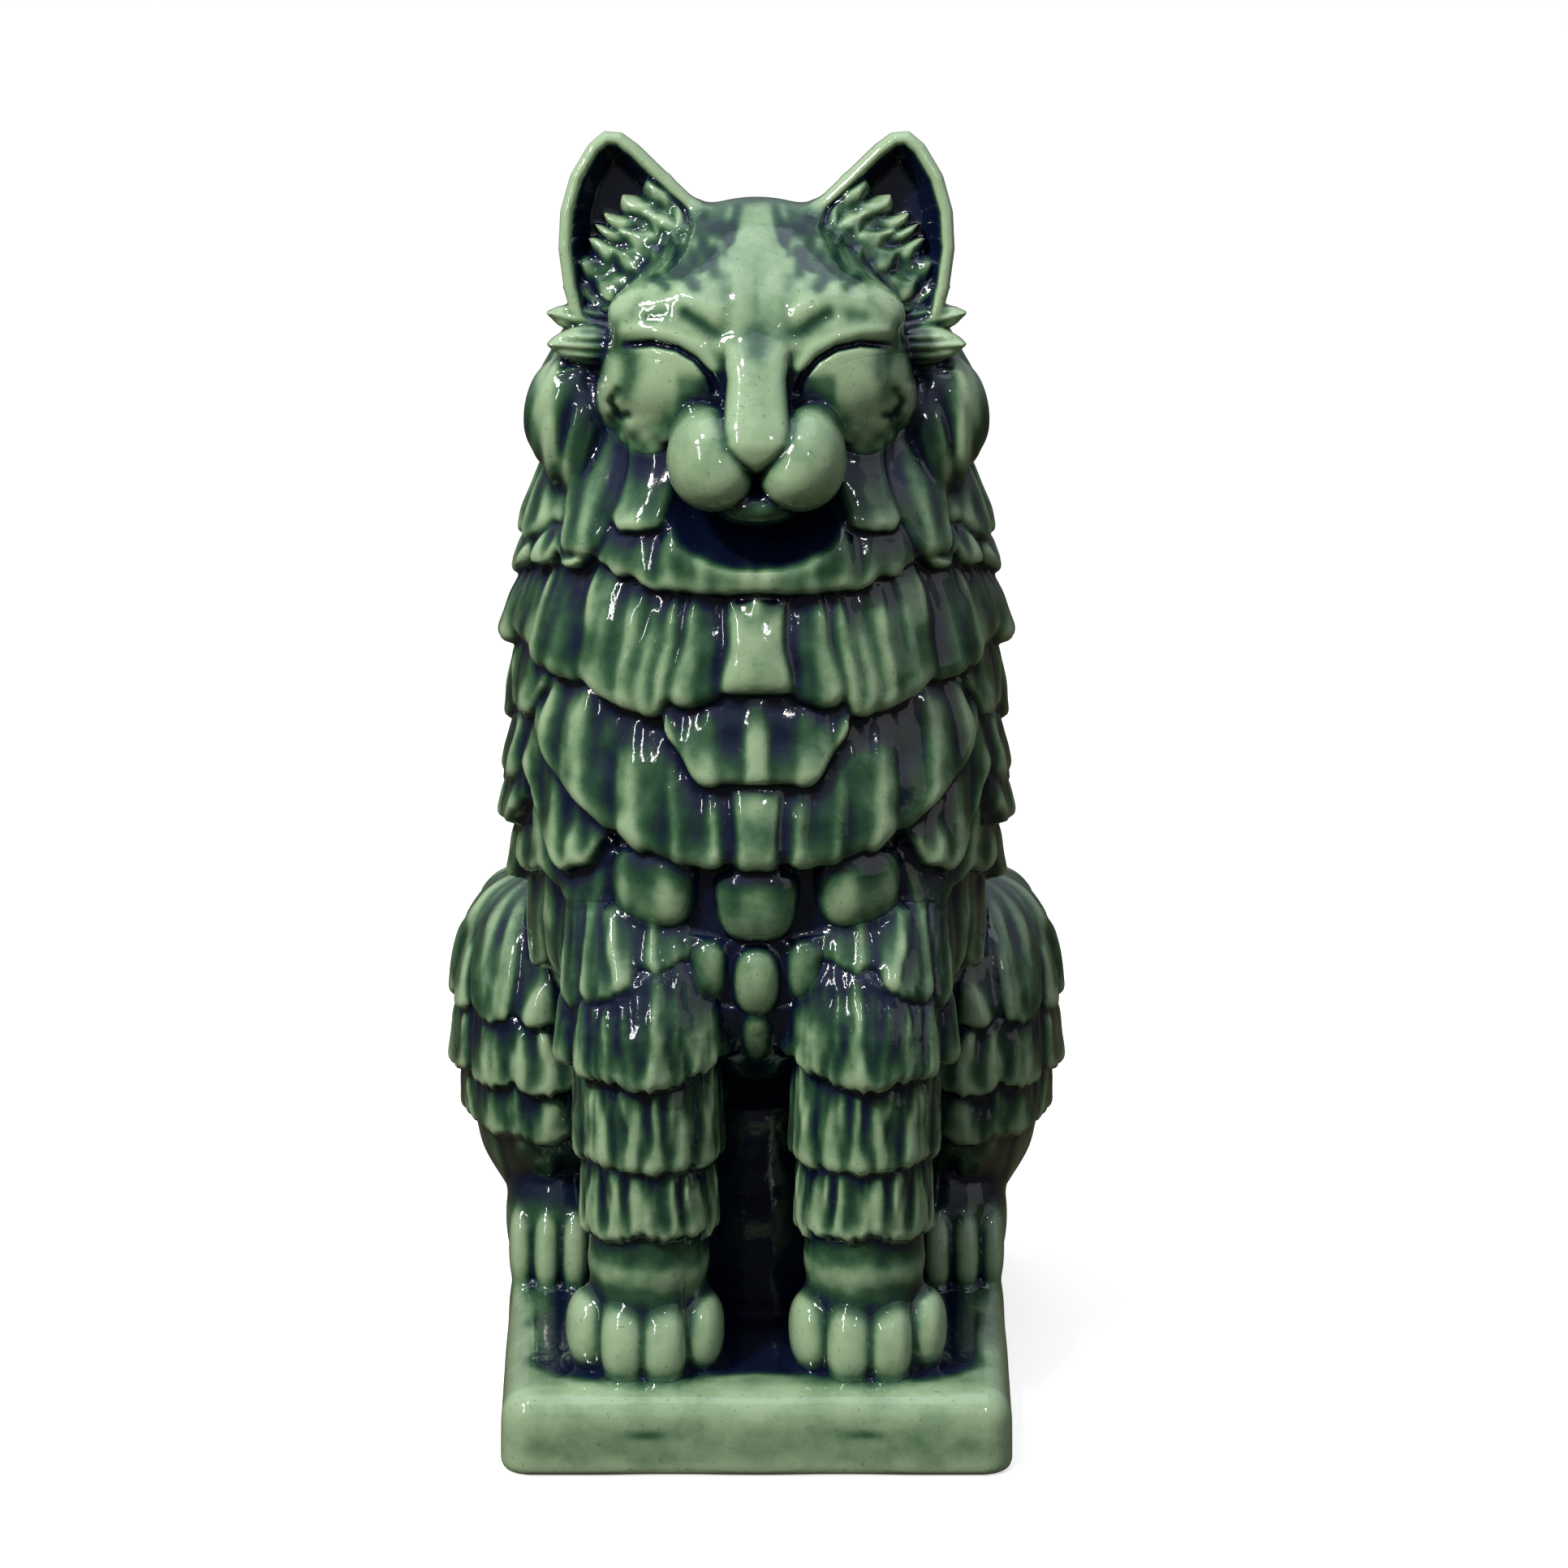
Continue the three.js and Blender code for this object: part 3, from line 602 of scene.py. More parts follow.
def chin_shape(x, y, z):
    return ball(x, y, z, (0, -88, 293.5), (12.5, 12.5, 6.4))


def cheek_shape(x, y, z):
    main = ball(x, y, z, (24.5, -67.5, 327.5), (20.5, 20.5, 15.5))
    jowl = ball(x, y, z, (28.5, -67, 315), (8, 13.5, 10.5), (0, -40, 0))
    curl = ball(x, y, z, (42, -62.5, 323.5), (5.2, 9, 8), (0, -15, 0))
    fold = 0.9 * cloud((x + z) / 4.4 + 3, (x - z) / 15, 61) * smooth((320 - z) / 6)
    return smin(smin(main, jowl, 8), curl, 4) + fold


EAR_LINE = [(15, 362), (15, 373), (17.5, 379.5), (26.5, 388), (35, 396.2), (40, 399.8), (45, 400.2),
    (49.5, 396.5), (55, 387.5), (58, 377), (58.6, 366), (57, 354), (54.5, 345),
            (46, 338), (34, 340), (22, 350)]


def outline(points, x, z):
    """The signed distance to a closed line in the X Z plane."""
    points = np.array(points, float)
    best = np.full(np.broadcast(x, z).shape, 1e9, F)
    inside = np.zeros(best.shape, bool)
    for (ax, az), (bx, bz) in zip(points, np.roll(points, -1, axis=0)):
        dx, dz = bx - ax, bz - az
        t = np.clip(((x - ax) * dx + (z - az) * dz) / (dx * dx + dz * dz), 0, 1)
        best = np.minimum(best, np.hypot(x - ax - t * dx, z - az - t * dz))
        crosses = (az > z) != (bz > z)
        if dz:
            inside ^= crosses & (x < ax + dx * (z - az) / dz)
    return np.where(inside, -best, best)


def ear_shape(x, y, z):
    rim = outline(EAR_LINE, x, z)
    lean = (z - 366) * 0.10 - (x - 38) * 0.10
    front = -58 + lean + 12 * smooth((-rim - 2.4) / 6.5)
    back = -37 + lean - 9 * smooth(1 - (-rim) / 12)
    return smax(smax(rim, front - y, 3.2), y - back, 3) * 0.8


FAN = (8.0, 343.0)       # X and Z that the ear tufts fan out from
# how far each layer of a tuft reaches, its teeth's length, spacing and shift, and its thickness
TUFT_LAYERS = [(46, 4.5, 9.5, 5.0, 3.4), (38.5, 5, 12.5, 0.5, 5.6), (30, 5, 14.5, 7, 7.6)]


def fan(x, z):
    """Angle in degrees and distance from the point that the ear tufts spread from."""
    return np.degrees(np.arctan2(z - FAN[1], x - FAN[0])), np.hypot(x - FAN[0], z - FAN[1])


def teeth(angle, step, shift):
    """Pointed tips from 0 between locks to 1 at a tip."""
    return 1 - np.abs(((angle + shift) / step) % 1 * 2 - 1)


def ear_tuft_shape(x, y, z):
    angle, far = fan(x, z)
    bend = angle + 1.4 * np.sin(far / 6.5) + 6.0 * cloud(far / 12, angle / 15, 70)
    whole = None
    for reach, tooth, step, shift, thick in TUFT_LAYERS:
        tips = teeth(bend, step, shift)
        edge = reach + tooth * tips ** 0.8 + 3.0 * cloud(angle / 8, far * 0 + step, 71) - far
        crest = thick * np.clip(edge / 4.5, 0, 1) ** 0.5 + 0.9 * (smooth(tips) - 0.5)
        crest = crest + 0.7 * cloud(x / 3.4, z / 3.4, 75)
        y0 = -52 - 10 * np.clip((40 - far) / 26, 0, 1) + (z - 366) * 0.06
        layer = smax((y0 - crest - y) * 0.75, -edge * 0.7, 1.6)
        whole = layer if whole is None else smin(whole, layer, 1.2)
    sides = np.maximum(np.maximum((angle - 68), (5 - angle)) * 0.5, 13 - far)
    return smax(smax(whole, y + 46, 1), sides, 3)


def leaf(x, y, z, root, tip, half, y0, thick):
    """A pointed leaf lying across the view, with a crease along it."""
    dx, dz = tip[0] - root[0], tip[1] - root[1]
    long = math.hypot(dx, dz)
    t = ((x - root[0]) * dx + (z - root[1]) * dz) / long ** 2
    across = ((z - root[1]) * dx - (x - root[0]) * dz) / long
    root_taper = 0.8 + 0.2 * np.clip(t * 3, 0, 1)
    width = half * np.clip(1 - np.clip(t, 0, 1) ** 3, 0, 1) ** 0.8 * root_taper
    inside = np.clip(1 - (across / np.maximum(width, 0.4)) ** 2, 0, 1)
    crest = thick * inside ** 0.5 + 0.5 * np.cos(across * 2.2)
    return smax(np.maximum(np.abs(across) - width, (np.abs(t - 0.5) - 0.5) * long) * 0.8,
        np.abs(y - y0) - crest * 0.7, 1.4)


def cheek_tuft_shape(x, y, z):
    upper = leaf(x, y, z, (42, 343), (62.5, 347.5), 5.4, -56, 6.5)
    middle = leaf(x, y, z, (42, 337.5), (62, 338.5), 6.6, -61, 8)
    lower = leaf(x, y, z, (45, 332.5), (57, 330.5), 4.4, -58, 6)
    return smin(smin(upper, middle, 0.8), lower, 0.8)


def lobe_shape(x, y, z):
    whole = ball(x, y, z, (55.5, -50, 319), (14.5, 16.5, 17.5), (0, -8, 0))
    tip = ball(x, y, z, (52.5, -55, 303), (9.5, 10.5, 11), (0, 20, 0))
    folds = cloud((x + 0.25 * (z - 316)) / 4.6 + 11 + y / 9, z / 26, 60)
    return smin(whole, tip, 12) + 1.5 * folds * (np.abs(whole) < 14)


def lobe_shade(x, y, z):
    ridge = curve([(292, 50), (299, 56), (308, 61), (318, 64), (332, 62)], z)
    folds = cloud((x + 0.25 * (z - 316)) / 4.6 + 11, z / 26, 60)
    return -0.6 + 1.5 * np.exp(-((x - ridge) / 3.4) ** 2) + 0.5 * folds


def face_lines():
    """How deep the face is cut, and its shading, over X and Z."""
    x = np.arange(0, 70, FACE_STEP)
    z = np.arange(284, 392, FACE_STEP)
    xx, zz = np.meshgrid(x, z, indexing="ij")
    cut, shade = np.zeros(xx.shape), np.zeros(xx.shape)

    def stroke(points, width):
        best = np.full(xx.shape, 1e9)
        for (ax, az), (bx, bz) in zip(points, points[1:]):
            dx, dz = bx - ax, bz - az
            t = np.clip(((xx - ax) * dx + (zz - az) * dz) / (dx * dx + dz * dz), 0, 1)
            best = np.minimum(best, np.hypot(xx - ax - t * dx, zz - az - t * dz))
        return np.exp(-(best / width) ** 2)

    slit = [(11.8, 326.5), (13.5, 331), (17.5, 335.5), (23, 338.7), (30, 340), (38, 339.2)]
    fade = 1 - smooth((xx - 31) / 8)
    cut += 2.0 * stroke(slit, 0.95) * (0.25 + 0.75 * fade)
    for deep, width, points in (
            (-1.0, 2.3, [(12.5, 333), (17, 338.6), (24, 342.2), (31, 343.8), (38, 343.4)]),
            (0.9, 2.4, [(12.5, 343), (16, 345.5), (20.5, 348)]),
            (-0.7, 3.2, [(11, 349), (16, 352), (22, 354.5)]),
            (0.5, 2.2, [(26, 348.5), (31, 347.5)]),
            (0.7, 2.6, [(9.5, 358), (8.5, 350), (9.5, 343)]),
            (1.1, 1.3, [(40.5, 326), (42.5, 322), (40, 318), (37.5, 318.5)]),
            (-0.7, 1.6, [(45, 326), (44, 319)])):
        cut += deep * stroke(points, width)
    # the pale mask widens from the crown, with a broken edge, down to the brows
    ragged = 3.6 * cloud(xx / 4.0, zz / 3.6, 62) + 2.2 * cloud(xx / 1.8, zz / 1.8, 63)
    half = curve([(284, 60), (343, 46), (350, 42), (354, 37), (356.5, 33), (358.5, 23), (361, 14),
        (364, 10), (368, 8), (380, 7.5), (386, 4)], zz)
    mask = smooth((half + ragged - xx) / 1.6 + 0.5)
    shade += mask + (1 - mask) * (0.2 + 0.7 * cloud(xx / 2.6 + 7, zz / 4, 74)) - 0.2
    for dark, width, points in (
            (0.65, 2.1, [(14, 344.5), (17, 346.5), (20.5, 349)]),
            (0.35, 2.2, [(27, 348.5), (31, 347.6)]),
            (0.5, 1.6, [(33, 352), (36, 349)]),
            (1.3, 2.0, [(18, 356), (20, 359), (24, 360)]),
            (1.1, 1.8, [(12.5, 360), (12.5, 366)]),
            (1.1, 1.5, [(26, 356), (29, 358)]),
            (0.9, 3.4, [(0, 342), (0, 338)]),
            (1.5, 3.6, [(12, 329), (13.5, 324), (15.5, 319), (17.5, 316)]),
            (1.3, 3.6, [(37, 337), (36.5, 331), (38.5, 325)]),
            (0.7, 2.0, [(41, 319), (38, 314), (33, 310)]),
            (1.2, 3.4, [(46, 340), (48, 330)]),
            (0.5, 3, [(26, 317), (30, 314)]),
            (1.1, 1.5, [(5.5, 379), (6.5, 373), (8, 369)])):
        shade -= dark * stroke(points, width)
    shade -= 0.85 * smooth((24.5 - xx) / 3) * smooth((xx - 8.8) / 1.5) * smooth((334 - zz) / 5)
    shade -= 1.0 * smooth((xx - 35) / 8) * smooth((350 - zz) / 6) * smooth((zz - 334) / 6)
    shade += 0.35 * smooth((344 - zz) / 6) * (xx > 10)
    shade = np.maximum(shade, -0.5) - 1.6 * stroke(slit, 1.0) * (0.3 + 0.7 * fade)
    return x, z, cut.astype(F), shade.astype(F)


FACE_X, FACE_Z, FACE_CUT, FACE_SHADE = face_lines()


def on_face(field, x, z):
    fx = np.clip(np.abs(x) / FACE_STEP, 0, len(FACE_X) - 1.001)
    fz = np.clip((z - FACE_Z[0]) / FACE_STEP, 0, len(FACE_Z) - 1.001)
    ix, iz = fx.astype(int), fz.astype(int)
    fx, fz = fx - ix, fz - iz
    return ((field[ix, iz] * (1 - fx) + field[ix + 1, iz] * fx) * (1 - fz)
        + (field[ix, iz + 1] * (1 - fx) + field[ix + 1, iz + 1] * fx) * fz).astype(F)


# ---- Plinth and paws ----
P_LOW, P_HIGH = box("plinth")


def plinth_outline(x, y):
    """Distance outside the plinth's tapered outline."""
    share = (y - P_LOW[1]) / (P_HIGH[1] - P_LOW[1])
    half = 77.5 + 10 * np.clip(share, 0, 1)
    ax = np.abs(x) - half
    ay = np.abs(y - (P_LOW[1] + P_HIGH[1]) / 2) - (P_HIGH[1] - P_LOW[1]) / 2
    radius = 9
    qx, qy = ax + radius, ay + radius
    outer = np.hypot(np.maximum(qx, 0), np.maximum(qy, 0))
    return outer + np.minimum(np.maximum(qx, qy), 0) - radius


def plinth_shape(x, y, z):
    rim = plinth_outline(x, y)
    wave = 0.5 * cloud(x / 26 + 7, (y + z) / 24, 64)
    body = smax(smax(rim + wave, z - P_HIGH[2], 11), -z, 3.5)
    hollow = smax(rim + 9, z - (P_HIGH[2] - 8), 2)
    return smax(body, -hollow, 1.5)


def plinth_shade(x, y, z):
    rim = plinth_outline(x, y)
    blur = 4.0 * cloud(x / 13, y / 13, 65)
    margin = 6.5 + 6.5 * smooth((-70 - y) / 20)
    pool = smooth((-rim - margin + blur) / 11) * smooth((z - 22) / 3)
    spot = np.exp(-(((np.abs(x) - 33) / 7) ** 2 + ((z - 13.5) / 1.3) ** 2)) * (y < -90)
    smear = 0.22 * cloud(x / 9 + 3, z / 5, 66)
    return 0.72 + smear - 2.0 * pool - 0.9 * spot - 0.5 * smooth((5 - z) / 5)


FOREPAW_TOES = [(50.8, -78, 8.2), (40.4, -86, 8.0), (28.6, -86.5, 8.0), (18.2, -79.5, 8.2)]
HINDPAW_TOES = [(77, -2, 5.2), (68.6, -7, 5.3), (59.8, -7.5, 5.3), (51.2, -4, 5.2)]


def pebble(x, y, z, centre, radii, turn, power=2.4):
    """A ball with fuller shoulders."""
    x, y, z = (np.abs(v) for v in turned(x, y, z, centre, turn))
    share = (x / radii[0]) ** power + (y / radii[1]) ** power + (z / radii[2]) ** power
    share = (share + 1e-9) ** (1 / power)
    return (share - 1) * min(radii) * 0.9


def forepaw_shape(x, y, z):
    whole = ball(x, y, z, (34.2, -69, 33), (23, 20.5, 20.5))
    for tx, ty, r in FOREPAW_TOES:
        mid, tall = (36, 14.2) if ty < -80 else (37, 12.8)
        toe = pebble(x, y, z, (tx, ty + 4, mid), (r, 12, tall), (-17, 0, (34 - tx) * 0.35))
        whole = smin(whole, toe, 2.0 if tx == FOREPAW_TOES[0][0] else 0.5)
    return smax(whole, 24 - z, 1)


def hindpaw_shape(x, y, z):
    whole = smin(ball(x, y, z, (65, 15, 44), (19, 23, 31)),
        ball(x, y, z, (66, 44, 33), (16, 24, 15)), 8)
    for tx, ty, r in HINDPAW_TOES:
        toe = pebble(x, y, z, (tx, ty + 5, 38), (r, 11, 16.5), (-14, 0, 0))
        whole = smin(whole, toe, 0.8)
    return smax(whole, 24 - z, 1)


def tail_shape(part):
    def shape(x, y, z):
        if part == "root":
            whole = ball(x, y, z, (0, 84, 46), (17, 18, 27))
        else:
            whole = smin(ball(x, y, z, (0, 84, 96), (17, 17, 36), (6, 0, 0)),
                ball(x, y, z, (0, 72, 138), (12, 13, 32), (16, 0, 0)), 10)
            curl = lock(x, y, z, [(9, 86, 78), (15.5, 88, 98), (17, 83, 116), (20, 77, 130)],
                [7, 7.5, 6, 3], 3)
            whole = smin(whole, curl, 2.5)
        grooves = cloud(np.arctan2(x, y - 70) * 4.5 + 0.05 * z + 30, z / 20, 67)
        return whole + 1.8 * grooves * (np.abs(whole) < 7)
    return shape


# ---- The pieces ----
class Part:
    """A field in a box; owners are the CAD nodes that its surface stands for."""

    def __init__(self, low, high, shape, owners, blend, shade, coat=None, grid="body"):
        self.low, self.high = np.array(low, float), np.array(high, float)
        self.shape, self.owners, self.blend = shape, owners, blend
        self.shade, self.coat, self.grid = shade, coat, grid


def coat_shape(coat, trim=None):
    def shape(x, y, z):
        a, out = coat.unroll(x, y, z)
        field = out - coat.look(coat.height, a, z)
        return trim(field, x, y, z) if trim else field
    return shape


def coat_shade(coat):
    def shade(x, y, z):
        a, _ = coat.unroll(x, y, z)
        return coat.look(coat.shade, a, z)
    return shade


torso, foreleg, haunch, nape = torso_coat(), foreleg_coat(), haunch_coat(), nape_coat()


def neck_bowl(x, y, z):
    """The hollow under the chin, inside which the torso is painted navy."""
    return ball(x, y, z, (0, -97, 293.5), (31, 21, 19))


def torso_trim(field, x, y, z):
    field = smax(field, smax(z - 319, 24 - z, 1), 9)
    return smax(field, -neck_bowl(x, y, z), 3)


def torso_shade(x, y, z):
    shade = coat_shade(torso)(x, y, z)
    return shade - 2.2 * smooth((1.0 - neck_bowl(x, y, z)) / 2.5) * (y < -60)


def skull_shade(x, y, z):
    face = on_face(FACE_SHADE, x, z)
    front = smooth((-50 - y) / 10)
    behind = 0.1 + 0.5 * cloud(x / 7, z / 7, 68)
    return face * front + behind * (1 - front)


def ear_shade(x, y, z):
    rim = outline(EAR_LINE, x, z)
    inside = smooth((-rim - 2.8) / 2.0) * smooth(((z - x) * 0.10 - 76.8 - y) / 2 + 0.5)
    return 0.62 + 0.25 * cloud(x / 6, z / 6, 69) - 2.3 * inside


def streaks(seed):
    def shade(x, y, z):
        return 0.95 * np.clip(0.5 + 0.9 * cloud((x + 0.4 * y) / 3.2, z / 15, seed), 0, 1)
    return shade


def tuft_shade(x, y, z):
    angle, far = fan(x, z)
    return -0.1 + 0.7 * teeth(angle + 3.0 * cloud(far / 9, angle / 14, 70), 10.5,
        5) + 0.7 * cloud(x / 4, z / 4, 58) - 0.5 * smooth((24 - far) / 8)


PARTS = [
    Part((0, -110, -3), (95, 114, 30), plinth_shape, ["plinth"], 3, plinth_shade),
    Part((0, -112, 22), (96, 100, 324), coat_shape(torso, torso_trim), torso.owners, 3, torso_shade,
        torso),
    Part((2, -112, 24), (72, -34, 178), coat_shape(foreleg, lambda f, x, y,
        z: smax(f, smax(z - 172, 30 - z, 1), 4)), foreleg.owners, 3.5, coat_shade(foreleg),
        foreleg),
    Part((24, -34, 24), (108, 100, 172), coat_shape(haunch, lambda f, x, y, z: smax(f, z - 160, 8)),
        haunch.owners, 3, coat_shade(haunch), haunch),
    Part((4, -104, 22), (66, -44, 60), forepaw_shape, ["left_forepaw"], 3, lambda x, y,
        z: 0.82 - 1.1 * smooth((z - 47) / 5) + 0.2 * cloud(x / 7, z / 7, 57)),
    Part((40, -26, 22), (92, 72, 84), hindpaw_shape, ["left_hind_paw"], 4, lambda x, y,
        z: 0.5 - 1.5 * smooth((z - 46) / 12)),
    Part((0, 52, 22), (24, 112, 78), tail_shape("root"), ["tail_root"], 7, streaks(71)),
    Part((0, 46, 56), (26, 112, 182), tail_shape("plume"), ["tail_plume"], 7, streaks(72)),
    Part((0, -100, 276), (62, 20, 388), skull_shape, ["skull"], 3, skull_shade, grid="head"),
    Part((0, -112, 298), (22, -70, 356), nose_shape, ["nose_bridge"], 1.6, skull_shade,
        grid="head"),
    Part((0, -112, 284), (36, -72, 328), pad_shape, ["left_whisker_pad"], 1.0, lambda x, y, z: 0.55
        + 0.15 * cloud(x / 7, z / 7, 56), grid="head"),
    Part((0, -102, 284), (18, -70, 304), chin_shape, ["chin"], 1.0, lambda x, y, z: -0.6 + 0 * x,
        grid="head"),
    Part((8, -94, 298), (52, -46, 346), cheek_shape, ["left_cheek"], 9, skull_shade, grid="head"),
    Part((8, -68, 332), (66, -26, 404), ear_shape, ["left_ear"], 6, ear_shade, grid="head"),
    Part((10, -74, 342), (64, -46, 394), ear_tuft_shape, ["left_ear_tuft"], 1.2, tuft_shade,
        grid="head"),
    Part((38, -62, 330), (70, -40, 358), cheek_tuft_shape, ["left_cheek_tuft"], 1.2, lambda x, y,
        z: 0.55 - 0.6 * smooth((54 - x) / 8) + 0.3 * cloud(x / 3, z / 3, 73), grid="head"),
    Part((38, -72, 286), (78, -28, 340), lobe_shape, ["left_mane_lobe"], 2.5, lobe_shade,
        grid="head"),
    Part((0, -60, 292), (80, 32, 386), coat_shape(nape, lambda f, x, y,
        z: smax(smax(f, -38 - y, 6), smax(296 - z, z - 373, 3), 6)), ["nape_mane"], 2.5,
        coat_shade(nape), grid="head"),
]


class Grid:
    """Samples over a box, for the half of the figure above X 0; the rest is its mirror image."""

    def __init__(self, low, high, step):
        self.low, self.step = np.array(low, float), step
        self.shape = tuple(int(round((h - l) / step)) + 1 for l, h in zip(low, high))
        self.axes = [(self.low[k] + step * np.arange(self.shape[k])).astype(F) for k in range(3)]
        self.first = np.full(self.shape, FAR, F)
        self.second = np.full(self.shape, FAR, F)
        self.which = np.full(self.shape, -1, np.int8)
        self.whole = np.full(self.shape, FAR, F)
        self.shade = np.zeros(self.shape, F)
        self.weight = np.full(self.shape, 1e-4, F)
        self.fields = {}

    def window(self, low, high):
        spans = []
        for k in range(3):
            a = max(int(math.ceil((low[k] - self.low[k]) / self.step)), 0)
            b = min(int(math.floor((high[k] - self.low[k]) / self.step)) + 1, self.shape[k])
            if b - a < 3:
                return None
            spans.append(slice(a, b))
        return tuple(spans)

    def places(self, spans):
        return [self.axes[k][spans[k]].reshape([-1 if j == k else 1 for j in range(3)])
                for k in range(3)]

    def add(self, index, part):
        spans = self.window(part.low - REACH, part.high + REACH)
        if spans is None:
            return
        x, y, z = self.places(spans)
        d = np.broadcast_to(part.shape(x, y, z), [s.stop - s.start for s in spans]).astype(F)
        self.fields[index] = (spans, d)
        first, second, which = self.first[spans], self.second[spans], self.which[spans]
        nearer = d < first
        second[...] = np.where(nearer, first, np.minimum(second, d))
        first[...] = np.where(nearer, d, first)
        which[...] = np.where(nearer, index, which)
        self.whole[spans] = smin(self.whole[spans], d, part.blend)
        near = np.exp(-np.clip(d, -12, 12) / 1.2).astype(F)
        shade = part.shade(x, y, z) if callable(part.shade) else part.shade
        self.shade[spans] += near * shade
        self.weight[spans] += near

    def settle(self):
        self.shade = (self.shade / self.weight).astype(F)
        self.fill = {}
        # how full of clay the space round each point is, at three scales; the glaze darkens hollows
        # with it, partly as glaze pooling, partly as painted shade
        solid = np.clip(0.5 - self.whole / self.step, 0, 1).astype(F)
        for name, radius in (("fine", 1.4), ("wide", 3.2), ("broad", 8.0)):
            r = max(int(round(radius / self.step)), 1)
            field = np.concatenate([solid[3 * r:0:-1], solid], axis=0)
            for axis in range(3):
                field = soften(field, r, axis)
            self.fill[name] = field[3 * r:]

    def sample(self, field, points):
        p = (np.abs(points * (1, 0, 0)) + points * (0, 1, 1) - self.low) / self.step
        p = np.clip(p, 0, np.array(self.shape) - 1.001)
        i = p.astype(int)
        f = (p - i).astype(F)
        total = 0
        for dx in (0, 1):
            for dy in (0, 1):
                for dz in (0, 1):
                    near = [f[:, k] if d else 1 - f[:, k] for k, d in enumerate((dx, dy, dz))]
                    corner = field[i[:, 0] + dx, i[:, 1] + dy, i[:, 2] + dz]
                    total = total + near[0] * near[1] * near[2] * corner
        return total


def torso_cavity(x, y, z):
    """The hollow inside the torso."""
    _, out = torso.unroll(x, y, z)
    return smax(out + WALL, z - 285, 4)


def piece_field(grid, index, node):
    """The whole where the node owns the surface, dipping under its neighbours elsewhere."""
    part = PARTS[index]
    spans, d = grid.fields[index]
    first, second, which = grid.first[spans], grid.second[spans], grid.which[spans]
    outside = np.where(which == index, d - second, d - first)
    x, y, z = grid.places(spans)
    if part.coat is not None:
        a, out = part.coat.unroll(x, y, z)
        label = part.coat.look(part.coat.outside[node], a, z)
        core = part.coat.owners[0]
        if len(part.coat.owners) > 1:
            if node == core:
                label = np.minimum(label, out + CORE)
            else:
                label = np.maximum(label, -out - CORE)
        outside = np.maximum(outside, label)
    field = grid.whole[spans] + DIP * np.maximum(outside, 0) ** 2
    field = np.maximum(field, outside - SKIRT)
    if node == "torso_shell":
        field = np.maximum(field, -torso_cavity(x, y, z))
    return field, spans


def surface(grid, field, spans, lateral):
    """Vertices in mm and quads. A left piece stops at the middle; a central one is mirrored."""
    step, start = grid.step, [grid.axes[k][spans[k].start] for k in range(3)]
    if spans[0].start == 0:
        if lateral:
            x = np.arange(1, 5, dtype=F)[::-1] * step
            mirror = np.maximum(field[4:0:-1], x.reshape(-1, 1, 1))
            field = np.maximum(field, 0.15 - grid.axes[0][spans[0]].reshape(-1, 1, 1))
        else:
            mirror = field[:0:-1]
        field = np.concatenate([mirror, field], axis=0)
        start[0] = -step * len(mirror)
    field = np.pad(field, 1, constant_values=3 * step)
    vdb = openvdb.FloatGrid(background=3 * step)
    vdb.copyFromArray(np.clip(field, -3 * step, 3 * step).astype(F))
    points, quads = vdb.convertToQuads(isovalue=0.0)
    return (points - 1) * step + np.array(start), quads


def largest(points, quads):
    """Only the biggest connected sheet, without crumbs."""
    label = np.arange(len(points))
    for _ in range(200):
        low = label[quads].min(axis=1)
        before = label.copy()
        for k in range(4):
            np.minimum.at(label, quads[:, k], low)
        label = label[label]
        if (label == before).all():
            break
    names, counts = np.unique(label, return_counts=True)
    keep = label == names[counts.argmax()]
    number = np.cumsum(keep) - 1
    return points[keep], number[quads[keep[quads[:, 0]]]]


MADE = []


def make_piece(name, points, quads, attributes, flip=False):
    points = points * (-1, 1, 1) if flip else points
    quads = quads[:, ::-1] if not flip else quads
    mesh = bpy.data.meshes.new(name)
    mesh.vertices.add(len(points))
    mesh.vertices.foreach_set("co", (points * 0.001).astype(F).ravel())
    mesh.loops.add(4 * len(quads))
    mesh.loops.foreach_set("vertex_index", quads.astype(np.int32).ravel())
    mesh.polygons.add(len(quads))
    mesh.polygons.foreach_set("loop_start", np.arange(0, 4 * len(quads), 4, dtype=np.int32))
    mesh.polygons.foreach_set("loop_total", np.full(len(quads), 4, np.int32))
    mesh.update(calc_edges=True)
    mesh.validate()
    mesh.polygons.foreach_set("use_smooth", np.ones(len(mesh.polygons), bool))
    for key, values in attributes.items():
        mesh.attributes.new(key, "FLOAT", "POINT").data.foreach_set("value", values.astype(F))
    piece = bpy.data.objects.new(name, mesh)
    bpy.context.collection.objects.link(piece)
    MADE.append(piece)
    return piece


def volume(points, quads):
    a, b, c, d = (points[quads[:, k]] for k in range(4))
    return (np.einsum("ij,ij->i", a, np.cross(b, c)) + np.einsum("ij,ij->i", a,
        np.cross(c, d))).sum() / 6


